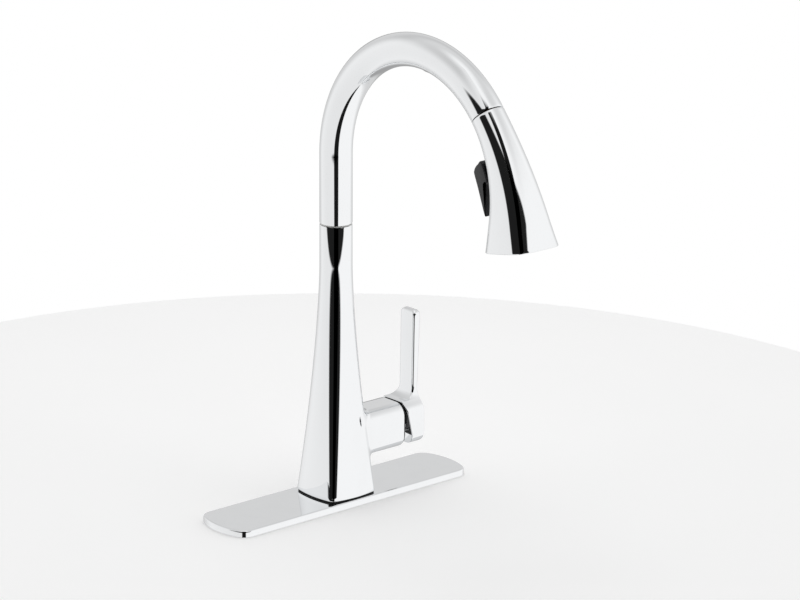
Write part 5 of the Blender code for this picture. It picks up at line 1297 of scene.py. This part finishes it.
def floor_finish():
    """A matt white sweep, a little lit from within so that it stays paper white."""
    finish = Finish("floor_finish", color(0.93, 0.93, 0.93), 0.85)
    cloud = finish.noise(6.0, 2.0)
    finish.set("Base Color", cloud.mix(color(0.92, 0.92, 0.92), color(0.94, 0.94, 0.94)))
    finish.set("Emission Color", color(1.0, 1.0, 1.0))
    finish.set("Emission Strength", 0.12)
    return finish.material


# Add-on parts


class FaucetSettings(bpy.types.PropertyGroup):
    chrome_color: FloatVectorProperty(
        name="Chrome colour", description="Tint of the bright plate", subtype="COLOR",
        default=(0.90, 0.91, 0.92), min=0.0, max=1.0)
    chrome_roughness: FloatProperty(
        name="Chrome roughness", description="0 is a perfect mirror", default=0.035,
        min=0.0, max=1.0, subtype="FACTOR")
    camera_azimuth: FloatProperty(
        name="Azimuth", description="Direction of the camera round the faucet",
        default=math.radians(-40.0), subtype="ANGLE")
    camera_elevation: FloatProperty(
        name="Elevation", description="How far the camera looks down",
        default=math.radians(16.8), subtype="ANGLE")
    distance: FloatProperty(
        name="Distance", description="From the camera to the middle of the faucet",
        default=2.992, unit="LENGTH")
    target_height: FloatProperty(
        name="Target height", description="Height that the camera looks at",
        default=0.174, unit="LENGTH")
    lens: FloatProperty(
        name="Lens", description="Focal length in millimetres on a 36 mm sensor",
        default=162.0)
    shift: FloatProperty(
        name="Shift", description="Sideways shift of the picture", default=0.08)
    floor_radius: FloatProperty(
        name="Floor radius", description="Radius of the floor disc", default=0.60,
        unit="LENGTH")
    lamp_power: FloatProperty(
        name="Lamp power", description="Power of the overhead lamp", default=4.0,
        unit="POWER")


class FAUCET_OT_finishes(bpy.types.Operator):
    """Make every finish of the faucet"""

    bl_idname = "faucet.finishes"
    bl_label = "Finishes"

    def execute(self, context):
        MATERIALS.update(make_materials())
        return {"FINISHED"}


class FAUCET_OT_deck_plate(bpy.types.Operator):
    """Press the deck plate's cover"""

    bl_idname = "faucet.deck_plate"
    bl_label = "Deck plate"

    def execute(self, context):
        make_deck_plate()
        return {"FINISHED"}


class FAUCET_OT_body(bpy.types.Operator):
    """Cast the body with its valve boss, and the dome on the boss"""

    bl_idname = "faucet.body"
    bl_label = "Body and bonnet"

    def execute(self, context):
        make_body()
        make_bonnet()
        return {"FINISHED"}


class FAUCET_OT_handle(bpy.types.Operator):
    """Forge the handle"""

    bl_idname = "faucet.handle"
    bl_label = "Handle"

    def execute(self, context):
        make_handle()
        return {"FINISHED"}


class FAUCET_OT_spout(bpy.types.Operator):
    """Bend the spout, and fit its vent plug and dock"""

    bl_idname = "faucet.spout"
    bl_label = "Spout"

    def execute(self, context):
        make_spout()
        make_vent_plug()
        make_dock()
        return {"FINISHED"}


class FAUCET_OT_hose(bpy.types.Operator):
    """Braid the hose and crimp its ferrule"""

    bl_idname = "faucet.hose"
    bl_label = "Spray hose"

    def execute(self, context):
        make_hose()
        make_ferrule()
        return {"FINISHED"}


class FAUCET_OT_spray_head(bpy.types.Operator):
    """Mould the spray head's shell, trigger and outlet"""

    bl_idname = "faucet.spray_head"
    bl_label = "Spray head"

    def execute(self, context):
        make_spray_shell()
        make_trigger()
        make_outlet()
        return {"FINISHED"}


class FAUCET_OT_underside(bpy.types.Operator):
    """Turn the shank, the mounting hardware and the water connections"""

    bl_idname = "faucet.underside"
    bl_label = "Below the deck"

    def execute(self, context):
        make_shank()
        make_mounting()
        make_plumbing()
        return {"FINISHED"}


class FAUCET_OT_inner_pieces(bpy.types.Operator):
    """Give the pieces inside the faucet their finishes"""

    bl_idname = "faucet.inner_pieces"
    bl_label = "Inner pieces"

    def execute(self, context):
        finish_cad_pieces()
        return {"FINISHED"}


class FAUCET_OT_stage(bpy.types.Operator):
    """Set up the floor, the studio and the camera"""

    bl_idname = "faucet.stage"
    bl_label = "Stage"

    def execute(self, context):
        make_stage()
        return {"FINISHED"}


OPERATORS = (
    FAUCET_OT_finishes, FAUCET_OT_deck_plate, FAUCET_OT_body, FAUCET_OT_handle,
    FAUCET_OT_spout, FAUCET_OT_hose, FAUCET_OT_spray_head, FAUCET_OT_underside,
    FAUCET_OT_inner_pieces, FAUCET_OT_stage,
)


class FAUCET_PT_panel(bpy.types.Panel):
    bl_label = "Kitchen faucet"
    bl_space_type = "VIEW_3D"
    bl_region_type = "UI"
    bl_category = "Faucet"

    def draw(self, context):
        layout = self.layout
        for name in FaucetSettings.__annotations__:
            layout.prop(context.scene.faucet, name)
        for operator in OPERATORS:
            layout.operator(operator.bl_idname)


def register():
    bpy.utils.register_class(FaucetSettings)
    for operator in OPERATORS:
        bpy.utils.register_class(operator)
    bpy.utils.register_class(FAUCET_PT_panel)
    bpy.types.Scene.faucet = PointerProperty(type=FaucetSettings)


def unregister():
    del bpy.types.Scene.faucet
    bpy.utils.unregister_class(FAUCET_PT_panel)
    for operator in reversed(OPERATORS):
        bpy.utils.unregister_class(operator)
    bpy.utils.unregister_class(FaucetSettings)


def corners(box):
    return [[float(value) for value in corner] for corner in box]


def main():
    register()
    for operator in OPERATORS:
        getattr(bpy.ops.faucet, operator.bl_idname.split(".")[1])()


if __name__ == "__main__":
    main()
